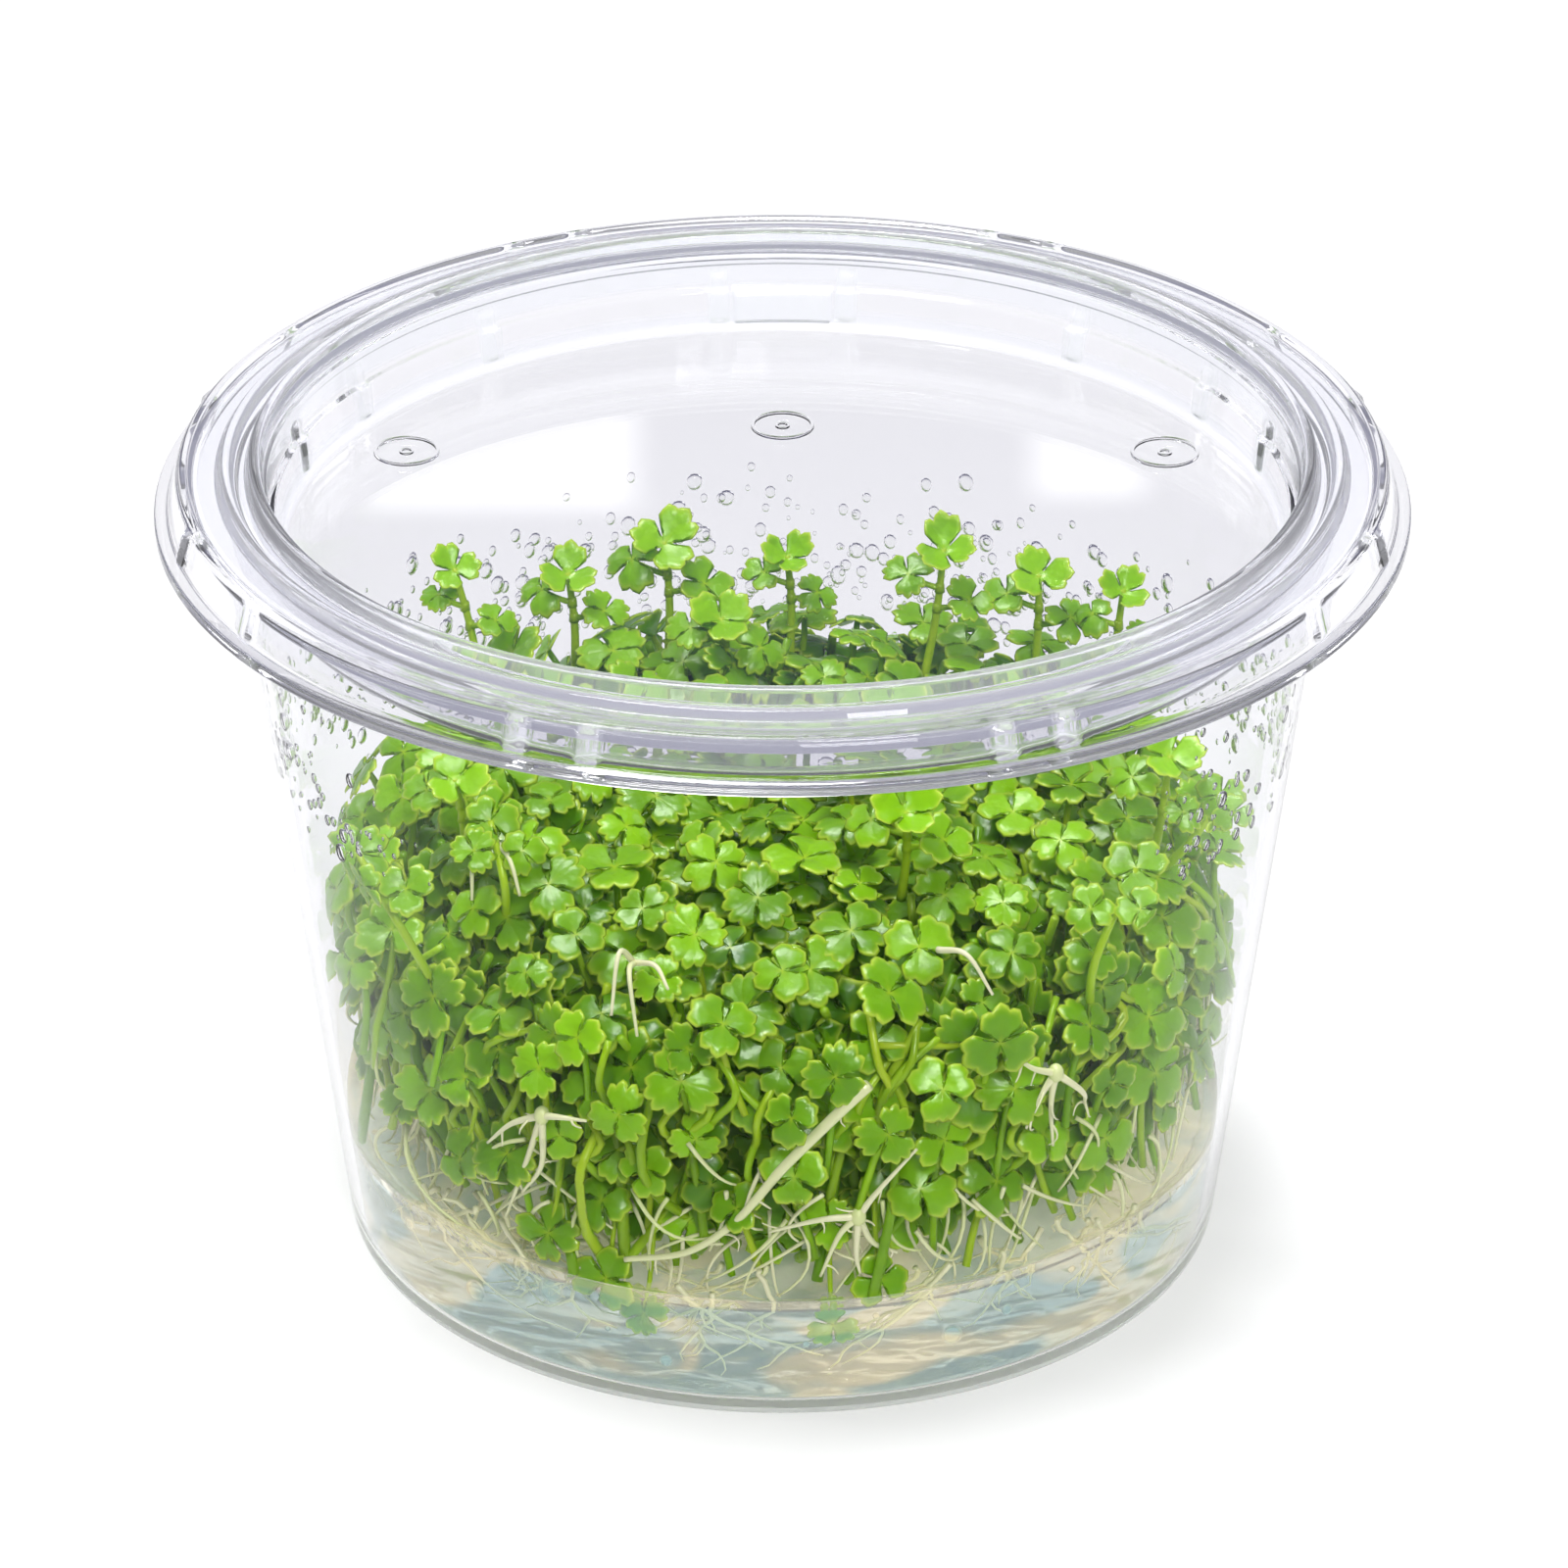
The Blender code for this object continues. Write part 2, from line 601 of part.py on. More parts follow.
def shoot_route(foot, tip):
    """A stem's line: out of the mat, then bowed a little on its way to the tip."""
    foot_x, foot_y = (value * MM for value in foot)
    tip_point = Vector(tip) * MM
    start = Vector((foot_x, foot_y, mat_height(math.hypot(foot_x, foot_y)) - STEM_SINK))
    middle = start.lerp(tip_point, 0.5) + STEM_BOW
    return smooth_route([start, middle, tip_point], 2)


def make_shoot(name, route, leaf_radius, material, turn):
    """One tall shoot: its stem, a leaf at the tip and two smaller ones below it on short stalks."""
    bm = bmesh.new()
    add_tube(bm, route, STEM_RADIUS, 0.8 * STEM_RADIUS, STEM_SIDES)
    shoot = add_object(name, mesh_from(name, bm), material)
    leaves = bmesh.new()
    tip = route[-1]
    toward = Vector((math.cos(turn), math.sin(turn), 0.0))
    add_leaf(leaves, tip, TIP_FACING, toward, leaf_radius * MM)
    for side, share in SIDE_LEAVES:
        joint = route[-1].lerp(route[-2], share)
        out = (Vector((side, -0.25 * side, 0.35))).normalized()
        reach = joint + out * SIDE_STALK_REACH * leaf_radius * MM
        add_tube(leaves, [joint, reach], STALK_RADIUS, 0.7 * STALK_RADIUS, STALK_SIDES)
        add_leaf(leaves, reach, Vector((0.15 * side, -0.35, 1.0)), out, SIDE_LEAF_SIZE * leaf_radius * MM)
    boolean(shoot, helper(name + "_leaves", mesh_from(name + "_leaves", leaves)), "UNION", own_overlaps=True)
    return shoot


def wall_point(degrees, height_mm):
    """A point that lies close to the cup's inner wall, in front of the mat."""
    height = height_mm * MM
    return around(degrees, cup_inner_radius(height) - GAP - RUNNER_RADIUS - WALL_CLEARANCE, height)


def make_runner(material):
    """The long pale runner that climbs across the front of the mat."""
    bm = bmesh.new()
    route = smooth_route([wall_point(*place) for place in RUNNER_ROUTE], 2)
    add_tube(bm, route, 0.7 * RUNNER_RADIUS, RUNNER_RADIUS, RUNNER_SIDES)
    return add_object("runner", mesh_from("runner", bm), material)


def make_root_crown(name, middle, ends, material):
    """Pale roots that leave one joint of a runner and spread over the front of the mat."""
    centre = wall_point(*middle)
    knob = bmesh.new()
    bmesh.ops.create_icosphere(knob, subdivisions=1, radius=KNOB_RADIUS, matrix=Matrix.Translation(centre))
    crown = add_object(name, mesh_from(name, knob), material)
    arms = bmesh.new()
    for end in ends:
        tip = wall_point(*end)
        bow = centre.lerp(tip, 0.5)
        bow = bow.normalized() * (bow.length + ROOT_BOW)
        add_tube(arms, smooth_route([centre, bow, tip], 2), ROOT_RADIUS, 0.6 * ROOT_RADIUS, ROOT_SIDES)
    boolean(crown, helper(name + "_arms", mesh_from(name + "_arms", arms)), "UNION", own_overlaps=True)
    return crown


def main():
    for thing in list(bpy.data.objects):
        bpy.data.objects.remove(thing, do_unlink=True)

    clear_plastic = clear_skin("clear_plastic", (0.97, 0.97, 0.99), 0.05)
    clear_gel = clear_skin("clear_gel", (0.86, 0.88, 0.80), 0.08)
    leaf_green = plant_skin("leaf_green", (0.16, 0.42, 0.03), 0.35)
    shoot_green = plant_skin("shoot_green", (0.24, 0.55, 0.04), 0.35)
    pale_root = plant_skin("pale_root", (0.78, 0.80, 0.52), 0.45)

    make_cup(clear_plastic)
    make_lid(clear_plastic)
    make_gel(clear_gel)

    routes = {name: shoot_route(foot, tip) for name, foot, tip, radius in SHOOTS}
    crown_points = [wall_point(*middle) for name, middle, ends in ROOT_CROWNS]
    crown_ends = [wall_point(*end) for name, middle, ends in ROOT_CROWNS for end in ends]
    runner_points = smooth_route([wall_point(*place) for place in RUNNER_ROUTE], 2)
    stem_points = [point for route in routes.values() for point in route[:3]]
    leaf_mat = make_leaf_mat(leaf_green, stem_points, crown_points + crown_ends + runner_points)
    sink_stems(leaf_mat, list(routes.values()))
    for index, (name, foot, tip, radius) in enumerate(SHOOTS):
        make_shoot(name, routes[name], radius, shoot_green, turn=SHOOT_TURN * index)

    make_runner(pale_root)
    for name, middle, ends in ROOT_CROWNS:
        make_root_crown(name, middle, ends, pale_root)


main()
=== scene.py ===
# %% [markdown]
# Pennywort in a lidded culture cup
#
# The real object is a small clear cup with a clear lid. In its foot lies a disc of nutrient gel, and a
# creeping water plant with lobed, scalloped leaves fills it to a little over half its height. Plain
# solids of every piece are already in place, and this lesson gives each its fine surface. All of it is
# in metres, in the frame of those solids, so nothing has to be fitted by eye.

import math

import bpy
import numpy as np
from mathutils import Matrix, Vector, noise


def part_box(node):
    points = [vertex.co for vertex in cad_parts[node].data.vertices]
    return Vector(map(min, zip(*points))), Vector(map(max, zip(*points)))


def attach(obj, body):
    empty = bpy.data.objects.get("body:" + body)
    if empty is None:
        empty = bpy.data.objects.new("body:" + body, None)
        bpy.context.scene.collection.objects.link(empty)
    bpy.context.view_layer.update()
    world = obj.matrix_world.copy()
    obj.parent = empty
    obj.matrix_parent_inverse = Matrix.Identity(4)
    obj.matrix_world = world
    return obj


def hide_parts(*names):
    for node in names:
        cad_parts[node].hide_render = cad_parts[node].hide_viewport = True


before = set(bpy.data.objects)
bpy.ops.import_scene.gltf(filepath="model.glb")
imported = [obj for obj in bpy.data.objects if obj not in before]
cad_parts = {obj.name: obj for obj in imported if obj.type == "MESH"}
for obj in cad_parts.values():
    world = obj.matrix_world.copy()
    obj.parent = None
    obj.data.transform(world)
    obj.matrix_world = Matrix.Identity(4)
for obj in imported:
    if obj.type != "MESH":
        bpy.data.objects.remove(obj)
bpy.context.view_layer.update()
MM = 0.001
print("solids in the frame:", len(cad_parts))

# %% [markdown]
# The camera looks down on the cup at 28 degrees, from nearly two thirds of a metre away. A long lens at
# a distance and a short lens close by could both fill the frame. The lid's rim looks almost equally wide
# in front and at the back, so the lens is long. Its focal length is kept in picture pixels, because the
# picture was measured in them, and turned into millimetres of lens here.

# %% Camera
PICTURE_WIDTH = 1600.0
FOCAL_PIXELS = 8000.0
AXIS_COLUMN = 798.5
CAMERA_PLACE = Vector((0.0, -562.7, 336.8)) * MM
CAMERA_PITCH = 0.4883

camera = bpy.data.objects.new("camera", bpy.data.cameras.new("camera"))
camera.location = CAMERA_PLACE
camera.rotation_euler = (math.pi / 2 - CAMERA_PITCH, 0.0, 0.0)
camera.data.sensor_width = 36.0
camera.data.lens = camera.data.sensor_width * FOCAL_PIXELS / PICTURE_WIDTH
camera.data.shift_x = 0.5 - AXIS_COLUMN / PICTURE_WIDTH
bpy.context.scene.collection.objects.link(camera)
bpy.context.scene.camera = camera
print("lens in millimetres:", camera.data.lens)

# %% [markdown]
# Every finish is a tree of shader nodes. Placing and linking them one by one hides the sum that they
# make, so one small class wraps an output socket and lets it stand in a Python expression, and another
# adds a node of any kind in one call: its settings first, then the values or links of its sockets.


# %% Shader trees as expressions
class Signal:
    """An output socket that can be used in sums."""

    def __init__(self, nodes, socket):
        self.nodes = nodes
        self.socket = socket

    def maths(self, operation, *values):
        return self.nodes.add("ShaderNodeMath", {"operation": operation}, dict(enumerate(values)))

    def __add__(self, other):
        return self.maths("ADD", self, other)

    def __sub__(self, other):
        return self.maths("SUBTRACT", self, other)

    def __rsub__(self, other):
        return self.maths("SUBTRACT", other, self)

    def __mul__(self, other):
        return self.maths("MULTIPLY", self, other)

    def __truediv__(self, other):
        return self.maths("DIVIDE", self, other)

    def __pow__(self, other):
        return self.maths("POWER", self, other)

    __radd__ = __add__
    __rmul__ = __mul__


class Nodes:
    """A shader tree under construction."""

    def __init__(self, tree):
        self.tree = tree

    def add(self, kind, settings=None, inputs=None, output=0):
        node = self.tree.nodes.new(kind)
        for name, value in (settings or {}).items():
            setattr(node, name, value)
        for name, value in (inputs or {}).items():
            self.put(node.inputs[name], value)
        return Signal(self, node.outputs[output])

    def put(self, socket, value):
        if isinstance(value, Signal):
            self.tree.links.new(value.socket, socket)
        else:
            socket.default_value = value

    def mix(self, share, first, second):
        """Blend two colours, as (red, green, blue, 1) or links."""
        return self.add("ShaderNodeMix", {"data_type": "RGBA"}, {0: share, 6: first, 7: second}, output=2)

    def slide(self, value, start, end):
        """A smooth step from 0 to 1 while a value goes from start to end."""
        smooth = {"interpolation_type": "SMOOTHSTEP"}
        return self.add("ShaderNodeMapRange", smooth, {0: value, 1: start, 2: end})

    def grain(self, place, scale, detail=1.0, distortion=0.0):
        """Noise over a surface. A scale of 100 makes lumps of about a hundredth of a metre."""
        values = {"Vector": place, "Scale": scale, "Detail": detail, "Distortion": distortion}
        return self.add("ShaderNodeTexNoise", inputs=values)

    def parts(self, vector):
        """The three parts of a vector, each as a signal of its own."""
        split = self.add("ShaderNodeSeparateXYZ", inputs={0: vector}).socket.node
        return [Signal(self, part) for part in split.outputs]

    def uneven(self, height, strength, distance):
        """A normal that makes a surface look uneven by a height from 0 to 1 times the distance."""
        values = {"Height": height, "Strength": strength, "Distance": distance}
        return self.add("ShaderNodeBump", inputs=values)


def new_finish(name, values):
    """A material whose Principled shader has the given values, with its nodes ready for more."""
    material = bpy.data.materials.new(name)
    material.use_nodes = True
    shader = material.node_tree.nodes["Principled BSDF"]
    for socket, value in values.items():
        shader.inputs[socket].default_value = value
    return material, Nodes(material.node_tree), shader


# %% [markdown]
# Most of the object is see-through: two thin mouldings, the gel and the water drops. Light that bends
# through all of them takes Cycles very long to find, and the leaves behind would stay dark. So each
# clear finish bends light for the eye, but lets two kinds of ray pass straight on, a little dimmed: those
# of the lamps, and those by which leaves and floor light each other. The cup's gloss is toned down where
# it is seen straight on, because the white floor in it would lie over the leaves like a veil. Moulded
# plastic is never quite clear: where it is thick, a part of the light scatters and keeps its many edges
# pale. So the lid's rim, its ribs and the cup's foot each have a finish of their own, milkier than those
# of the thin panel and wall.


# %% Clear finishes
CLEAR = (1.0, 1.0, 1.0)
SHADE = (0.99, 0.99, 0.992)
WATER_SHADE = (0.99, 0.99, 0.99)
# Each plastic's tint, how strongly it bends light, how clear it is and how much of its gloss it keeps
PLASTICS = {
    "cup": ((0.91, 0.91, 0.925), 1.18, 1.0, 0.25),
    "foot": ((0.93, 0.95, 0.92), 1.2, 0.62, 0.6),
    "panel": ((0.94, 0.937, 0.948), 1.42, 1.0, 0.7),
    "rim": ((0.955, 0.958, 0.992), 1.4, 0.87, 0.8),
    "rib": ((0.96, 0.965, 0.995), 1.4, 0.78, 0.8),
}


def clear_finish(name, tint, bending, dimming, clearness=1.0, gloss=1.0, roughness=0.0):
    values = {
        "Base Color": (*tint, 1.0),
        "IOR": bending,
        "Roughness": roughness,
        "Transmission Weight": clearness,
        "Specular Tint": (gloss, gloss, gloss, 1.0),
    }
    material, nodes, shader = new_finish(name, values)
    straight = nodes.add("ShaderNodeBsdfTransparent", inputs={"Color": (*dimming, 1.0)})
    seen = Signal(nodes, shader.outputs["BSDF"])
    for ray in ("Is Diffuse Ray", "Is Shadow Ray"):
        passing = nodes.add("ShaderNodeLightPath", output=ray)
        seen = nodes.add("ShaderNodeMixShader", inputs={0: passing, 1: seen, 2: straight})
    nodes.put(material.node_tree.nodes["Material Output"].inputs["Surface"], seen)
    return material, nodes, shader


plastics = {
    part: clear_finish(part + "_plastic", tint, bending, SHADE, clearness, gloss)[0]
    for part, (tint, bending, clearness, gloss) in PLASTICS.items()
}
clear_water = clear_finish("clear_water", CLEAR, 1.33, WATER_SHADE)[0]
print("clear finishes:", *plastics, clear_water.name)

# %% [markdown]
# The cup, the lid and the gel are round, so each is an outline turned about the upright axis. Blender's
# Screw modifier could do that. Building the rows of points in NumPy gives two things more: columns can
# stand closer together where a rib needs them, and a rib is then a swelling of the same closed skin,
# with no join to show through the clear plastic.


# %% Turned skins
def around(degrees, radius, height):
    """Points at an angle from the front (-Y), turning towards +X."""
    angle = np.radians(degrees)
    return np.stack(np.broadcast_arrays(np.sin(angle) * radius, -np.cos(angle) * radius, height), axis=-1)


def softened(outline, steps=4):
    """Round the corners of an outline of (radius, height, cut): cut is how far a corner is cut back."""
    points = [np.array(corner[:2], float) for corner in outline]
    soft = [points[0]]
    for before, here, after, corner in zip(points, points[1:], points[2:], outline[1:]):
        cut = corner[2] if len(corner) > 2 else 0.0
        if cut == 0.0:
            soft.append(here)
            continue
        start = here + (before - here) / np.linalg.norm(before - here) * cut
        end = here + (after - here) / np.linalg.norm(after - here) * cut
        for t in np.linspace(0.0, 1.0, steps + 1):
            soft.append((1 - t) ** 2 * start + 2 * t * (1 - t) * here + t ** 2 * end)
    soft.append(points[-1])
    return np.array(soft)


def held(outline, margin):
    """Add a point near each end of every long stretch, so that smooth shading leaves its middle flat."""
    points = [outline[0]]
    for start, end in zip(outline, outline[1:]):
        length = np.linalg.norm(end - start)
        if length > 4.0 * margin:
            points += [start + (end - start) * margin / length, end - (end - start) * margin / length]
        points.append(end)
    return np.array(points)


def turned(outline, degrees, swelling=None):
    """Points and faces of an outline that starts and ends on the axis, with one column at each angle.
    swelling gives how far each point moves outward, from the angles, radii and heights."""
    radius = np.repeat(outline[None, 1:-1, 0], len(degrees), axis=0)
    height = np.repeat(outline[None, 1:-1, 1], len(degrees), axis=0)
    if swelling is not None:
        radius = radius + swelling(degrees[:, None], radius, height)
    skin = around(degrees[:, None], radius, height).reshape(-1, 3)
    columns, rows = radius.shape
    index = np.arange(columns * rows).reshape(columns, rows)
    beside = np.roll(index, -1, axis=0)
    quads = np.stack([index[:, :-1], beside[:, :-1], beside[:, 1:], index[:, 1:]], axis=-1).reshape(-1, 4)
    foot = np.full(columns, len(skin))
    crown = foot + 1
    ends = [
        np.stack([foot, beside[:, 0], index[:, 0]], axis=-1),
        np.stack([crown, index[:, -1], beside[:, -1]], axis=-1),
    ]
    axis_points = np.array([[0.0, 0.0, outline[0, 1]], [0.0, 0.0, outline[-1, 1]]])
    return np.concatenate([skin, axis_points]), [quads, *ends]


# %% [markdown]
# One function puts any such points and faces in the scene. It also says what each piece stands for: the
# body it rides on, the plain solid that it hides and the finish it takes.


# %% Pieces
SHARP_ANGLE = math.radians(40.0)


def add_piece(name, points, faces, material, replaced=(), marks=None, sharp=True):
    """Make one piece from points and groups of faces. marks holds three growth numbers for each point."""
    mesh = bpy.data.meshes.new(name)
    corners = np.concatenate([group.ravel() for group in faces]).astype(np.int32)
    sizes = np.concatenate([np.full(len(group), group.shape[1]) for group in faces])
    starts = np.concatenate([[0], np.cumsum(sizes)[:-1]]).astype(np.int32)
    mesh.vertices.add(len(points))
    mesh.vertices.foreach_set("co", points.astype(np.float32).ravel())
    mesh.loops.add(len(corners))
    mesh.loops.foreach_set("vertex_index", corners)
    mesh.polygons.add(len(sizes))
    mesh.polygons.foreach_set("loop_start", starts)
    mesh.update(calc_edges=True)
    mesh.shade_smooth()
    if sharp:
        mesh.set_sharp_from_angle(angle=SHARP_ANGLE)
    if marks is not None:
        growth = mesh.attributes.new("growth", "FLOAT_VECTOR", "POINT")
        growth.data.foreach_set("vector", marks.astype(np.float32).ravel())
    mesh.materials.append(material)
    piece = bpy.data.objects.new(name, mesh)
    bpy.context.scene.collection.objects.link(piece)
    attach(piece, "root")
    if replaced:
        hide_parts(*replaced)
    print(name, "has", int((sizes - 2).sum()), "triangles")
    return piece


# %% [markdown]
# The cup is moulded in one shot from clear plastic: a flat floor, a thin wall that leans outward and a
# flat rim for the lid. Its inner skin follows the outer one at the wall's thickness, which is what draws
# the pale double line down each side. Its underside is a little hollow, so it stands on a ring, and the
# faces of that foot take the milkier finish.

# %% Cup
cup_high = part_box("cup")[1]
CUP_BASE_RADIUS = 35.9 * MM
CUP_TAPER = 0.124
CUP_WALL = 0.9 * MM
CUP_RIM_TOP = cup_high.z
CUP_RIM_RADIUS = cup_high.x
HOLLOW_DEPTH = 0.35 * MM
HOLLOW_RADIUS = CUP_BASE_RADIUS - 4.0 * MM
FOOT_RING_RADIUS = CUP_BASE_RADIUS - 3.4 * MM
FOOT_HEIGHT = 1.3 * MM
SMOOTH_COLUMNS = 240


def cup_outer(height):
    return CUP_BASE_RADIUS + CUP_TAPER * height


def cup_inner(height):
    return cup_outer(height) - CUP_WALL


rim_bottom = CUP_RIM_TOP - CUP_WALL
cup_outline = held(softened([
    (0.0, HOLLOW_DEPTH),
    (HOLLOW_RADIUS, HOLLOW_DEPTH),
    (FOOT_RING_RADIUS, 0.0, 0.15 * MM),
    (CUP_BASE_RADIUS, 0.0, 0.9 * MM),
    (cup_outer(rim_bottom), rim_bottom, 0.3 * MM),
    (CUP_RIM_RADIUS, rim_bottom, 0.3 * MM),
    (CUP_RIM_RADIUS, CUP_RIM_TOP, 0.3 * MM),
    (cup_inner(CUP_RIM_TOP), CUP_RIM_TOP, 0.4 * MM),
    (cup_inner(CUP_WALL), CUP_WALL, 1.0 * MM),
    (0.0, CUP_WALL),
]), 1.0 * MM)
even_columns = np.arange(SMOOTH_COLUMNS) * 360.0 / SMOOTH_COLUMNS
cup_points, cup_faces = turned(cup_outline, even_columns)
cup = add_piece("culture_cup", cup_points, cup_faces, plastics["cup"], ["cup"])
cup.data.materials.append(plastics["foot"])
for face in cup.data.polygons:
    face.material_index = int(face.center.z < FOOT_HEIGHT)

# %% [markdown]
# The lid is one clear moulding too. From outside in it has a thin flange, a leaning skirt with upright
# ribs, a flat crown between two round beads, and a sunk panel whose wall has a ledge, small ribs and a
# stop at the back. Steps like these could be separate rings, but every hidden joint would show, so they
# are all corners of one outline, and the ribs and the stop swell out of it. Extra columns stand at each
# rib, and extra rows on the two steep walls, to give a rib its round sides.

# %% Lid
lid_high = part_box("lid")[1] / MM
FLANGE_RADIUS = round(lid_high.x, 3)
LID_TOP = round(lid_high.z, 3)
# Corners of the outline in millimetres, as radius, height and how far the corner is cut back
LID_CORNERS = (
    # Under the panel, up behind its wall and out under the crown
    (0.0, 59.6),
    (40.2, 59.6, 0.4),
    (40.9, 60.4, 0.3),
    (42.0, 63.9, 0.4),
    (42.3, 66.5, 0.4),
    (47.1, 66.5, 0.5),
    # Down inside the skirt, round the flange and up outside the skirt
    (48.1, 63.3, 0.2),
    (FLANGE_RADIUS, 63.3, 0.15),
    (FLANGE_RADIUS, 64.2, 0.25),
    (48.95, 64.35, 0.25),
    (48.15, 67.2, 0.4),
    # Over the crown, with a raised edge, a low bead and a high one
    (47.3, 67.35, 0.15),
    (46.9, 67.05, 0.15),
    (45.1, 67.05, 0.15),
    (44.6, 67.75, 0.3),
    (43.9, 67.75, 0.3),
    (43.6, 67.1, 0.15),
    (42.7, 67.1, 0.15),
    (42.4, LID_TOP, 0.35),
    (41.5, LID_TOP, 0.35),
    # Down the wall of the recess, past a groove and the ledge, and over the panel
    (41.25, 66.5, 0.12),
    (41.0, 66.4, 0.08),
    (40.95, 65.8, 0.08),
    (41.1, 65.7, 0.08),
    (40.95, 63.8, 0.2),
    (40.35, 63.6, 0.2),
    (40.1, 60.9, 0.25),
    (39.6, 60.4, 0.3),
    (0.0, 60.4),
)
PANEL_TOP = 60.4 * MM
PANEL_RADIUS = 39.7 * MM
LEDGE_HEIGHT = 63.8 * MM


def both_sides(degrees):
    return [side * angle for side in (-1.0, 1.0) for angle in degrees]


# Ribs, as degrees round the lid from the front
SKIRT_RIBS = [-24.2, -17.4, 20.0, 26.0, *both_sides((57.5, 74.5, 105.5, 122.5, 152.0, 159.0))]
RECESS_RIBS = both_sides((106.0, 121.5, 143.0, 172.5))
# Heights in millimetres at which a rib begins, stands full, starts to fall and ends
SKIRT_RIB_HEIGHTS = (64.3, 64.7, 66.6, 67.1)
RECESS_RIB_HEIGHTS = (60.7, 61.4, 64.6, 65.2)
RIB_WIDTH = 1.6 * MM
# How far from its middle a rib stays flat and how far out its foot is, as shares of its width
RIB_FLAT = 0.1
RIB_FOOT = 0.75
SKIRT_RIB_PROUD = 0.42 * MM
RECESS_RIB_PROUD = 0.38 * MM
RIB_STEPS = np.linspace(-1.5, 1.5, 7)
STOP_HALF_ANGLE = 5.6
STOP_DEPTH = 0.9 * MM
STOP_TOP = 63.7 * MM
STOP_STEPS = np.array([0.0, 0.1, 0.2, 0.3])
# Heights between which the steep walls get extra rows, and how far apart the rows are
STEEP_FROM = 60.5 * MM
STEEP_UP_TO = 67.0 * MM
ROW_STEP = 0.25 * MM
# Radii that tell the skirt's outer skin and the recess's inner skin from the rest of the lid
SKIRT_OUTER_SKIN = 48.0 * MM
RECESS_INNER_SKIN = (39.9 * MM, 40.6 * MM)
RECESS_LEAN = 0.2


def rise(value, start, end):
    """0 before start and 1 after end, with a smooth step between them."""
    t = np.clip((value - start) / (end - start), 0.0, 1.0)
    return t * t * (3.0 - 2.0 * t)


def rib_share(height, levels):
    """How fully a rib stands at a height, from 0 to 1, for its four levels in millimetres."""
    begin, full, fall, end = (level * MM for level in levels)
    return rise(height, begin, full) * (1.0 - rise(height, fall, end))


def lid_swelling(degrees, radius, height):
    """How far the ribs and the stop move the lid's skin outward."""
    turn = np.radians((degrees + 180.0) % 360.0 - 180.0)
    nearest, farthest = RECESS_INNER_SKIN
    inner_skin = (radius > nearest) & (radius < farthest + RECESS_LEAN * (height - PANEL_TOP))
    skirt = rib_share(height, SKIRT_RIB_HEIGHTS) * (radius > SKIRT_OUTER_SKIN)
    recess = rib_share(height, RECESS_RIB_HEIGHTS) * inner_skin
    out = np.zeros(np.broadcast(degrees, radius).shape)
    walls = ((skirt, SKIRT_RIBS, SKIRT_RIB_PROUD), (recess, RECESS_RIBS, -RECESS_RIB_PROUD))
    for wall, ribs, proud in walls:
        for rib in ribs:
            away = np.abs(turn - math.radians(rib)) * radius
            out = out + proud * wall * (1.0 - rise(away, RIB_FLAT * RIB_WIDTH, RIB_FOOT * RIB_WIDTH))
    edge, foot = math.radians(STOP_HALF_ANGLE), math.radians(STOP_HALF_ANGLE + STOP_STEPS[-1])
    block = 1.0 - rise(math.pi - np.abs(turn), edge, foot)
    return out - STOP_DEPTH * block * recess * (height < STOP_TOP)


def finer(outline, low, high, step):
    """Add points to the stretches of an outline whose heights are between low and high."""
    points = [outline[0]]
    for start, end in zip(outline, outline[1:]):
        steep = abs(end[1] - start[1]) > step and low < (start[1] + end[1]) / 2 < high
        count = int(abs(end[1] - start[1]) / step) + 1 if steep else 1
        points += [start + (end - start) * k / count for k in range(1, count + 1)]
    return np.array(points)


rib_columns = np.concatenate([np.array(SKIRT_RIBS + RECESS_RIBS) + step for step in RIB_STEPS])
stop_columns = np.concatenate([180.0 + side * (STOP_HALF_ANGLE + STOP_STEPS) for side in (-1.0, 1.0)])
lid_columns = np.unique(np.round(np.concatenate([even_columns, rib_columns % 360.0, stop_columns]), 2))
lid_outline = softened([tuple(measure * MM for measure in corner) for corner in LID_CORNERS])
lid_rows = held(finer(lid_outline, STEEP_FROM, STEEP_UP_TO, ROW_STEP), 1.2 * MM)
lid_points, lid_faces = turned(lid_rows, lid_columns, lid_swelling)
lid = add_piece("vented_lid", lid_points, lid_faces, plastics["panel"], ["lid"])

# %% [markdown]
# Three thin rings stand on the panel where the moulding has its vents, each with a tiny second ring in
# its middle. They are joined on with the exact Boolean, so that the clear plastic stays one skin. The
# faces of the finished lid are then shared out among three finishes: the thin panel is clear, the thick
# crown and the bottom of the recess are a little milky, and the ribs and the stop more so.

# %% Vent rings
# Vents in millimetres, as x, y and the radius of the wide ring
VENTS = ((-30.7, 15.4, 2.7), (0.0, 20.3, 2.6), (31.2, 15.2, 2.8))
RING_WIDTH = 0.3 * MM
RING_PROUD = 0.22 * MM
SMALL_RING_RADIUS = 0.6 * MM
SMALL_RING_WIDTH = 0.22 * MM
SMALL_RING_PROUD = 0.14 * MM
RING_SINK = 0.2 * MM


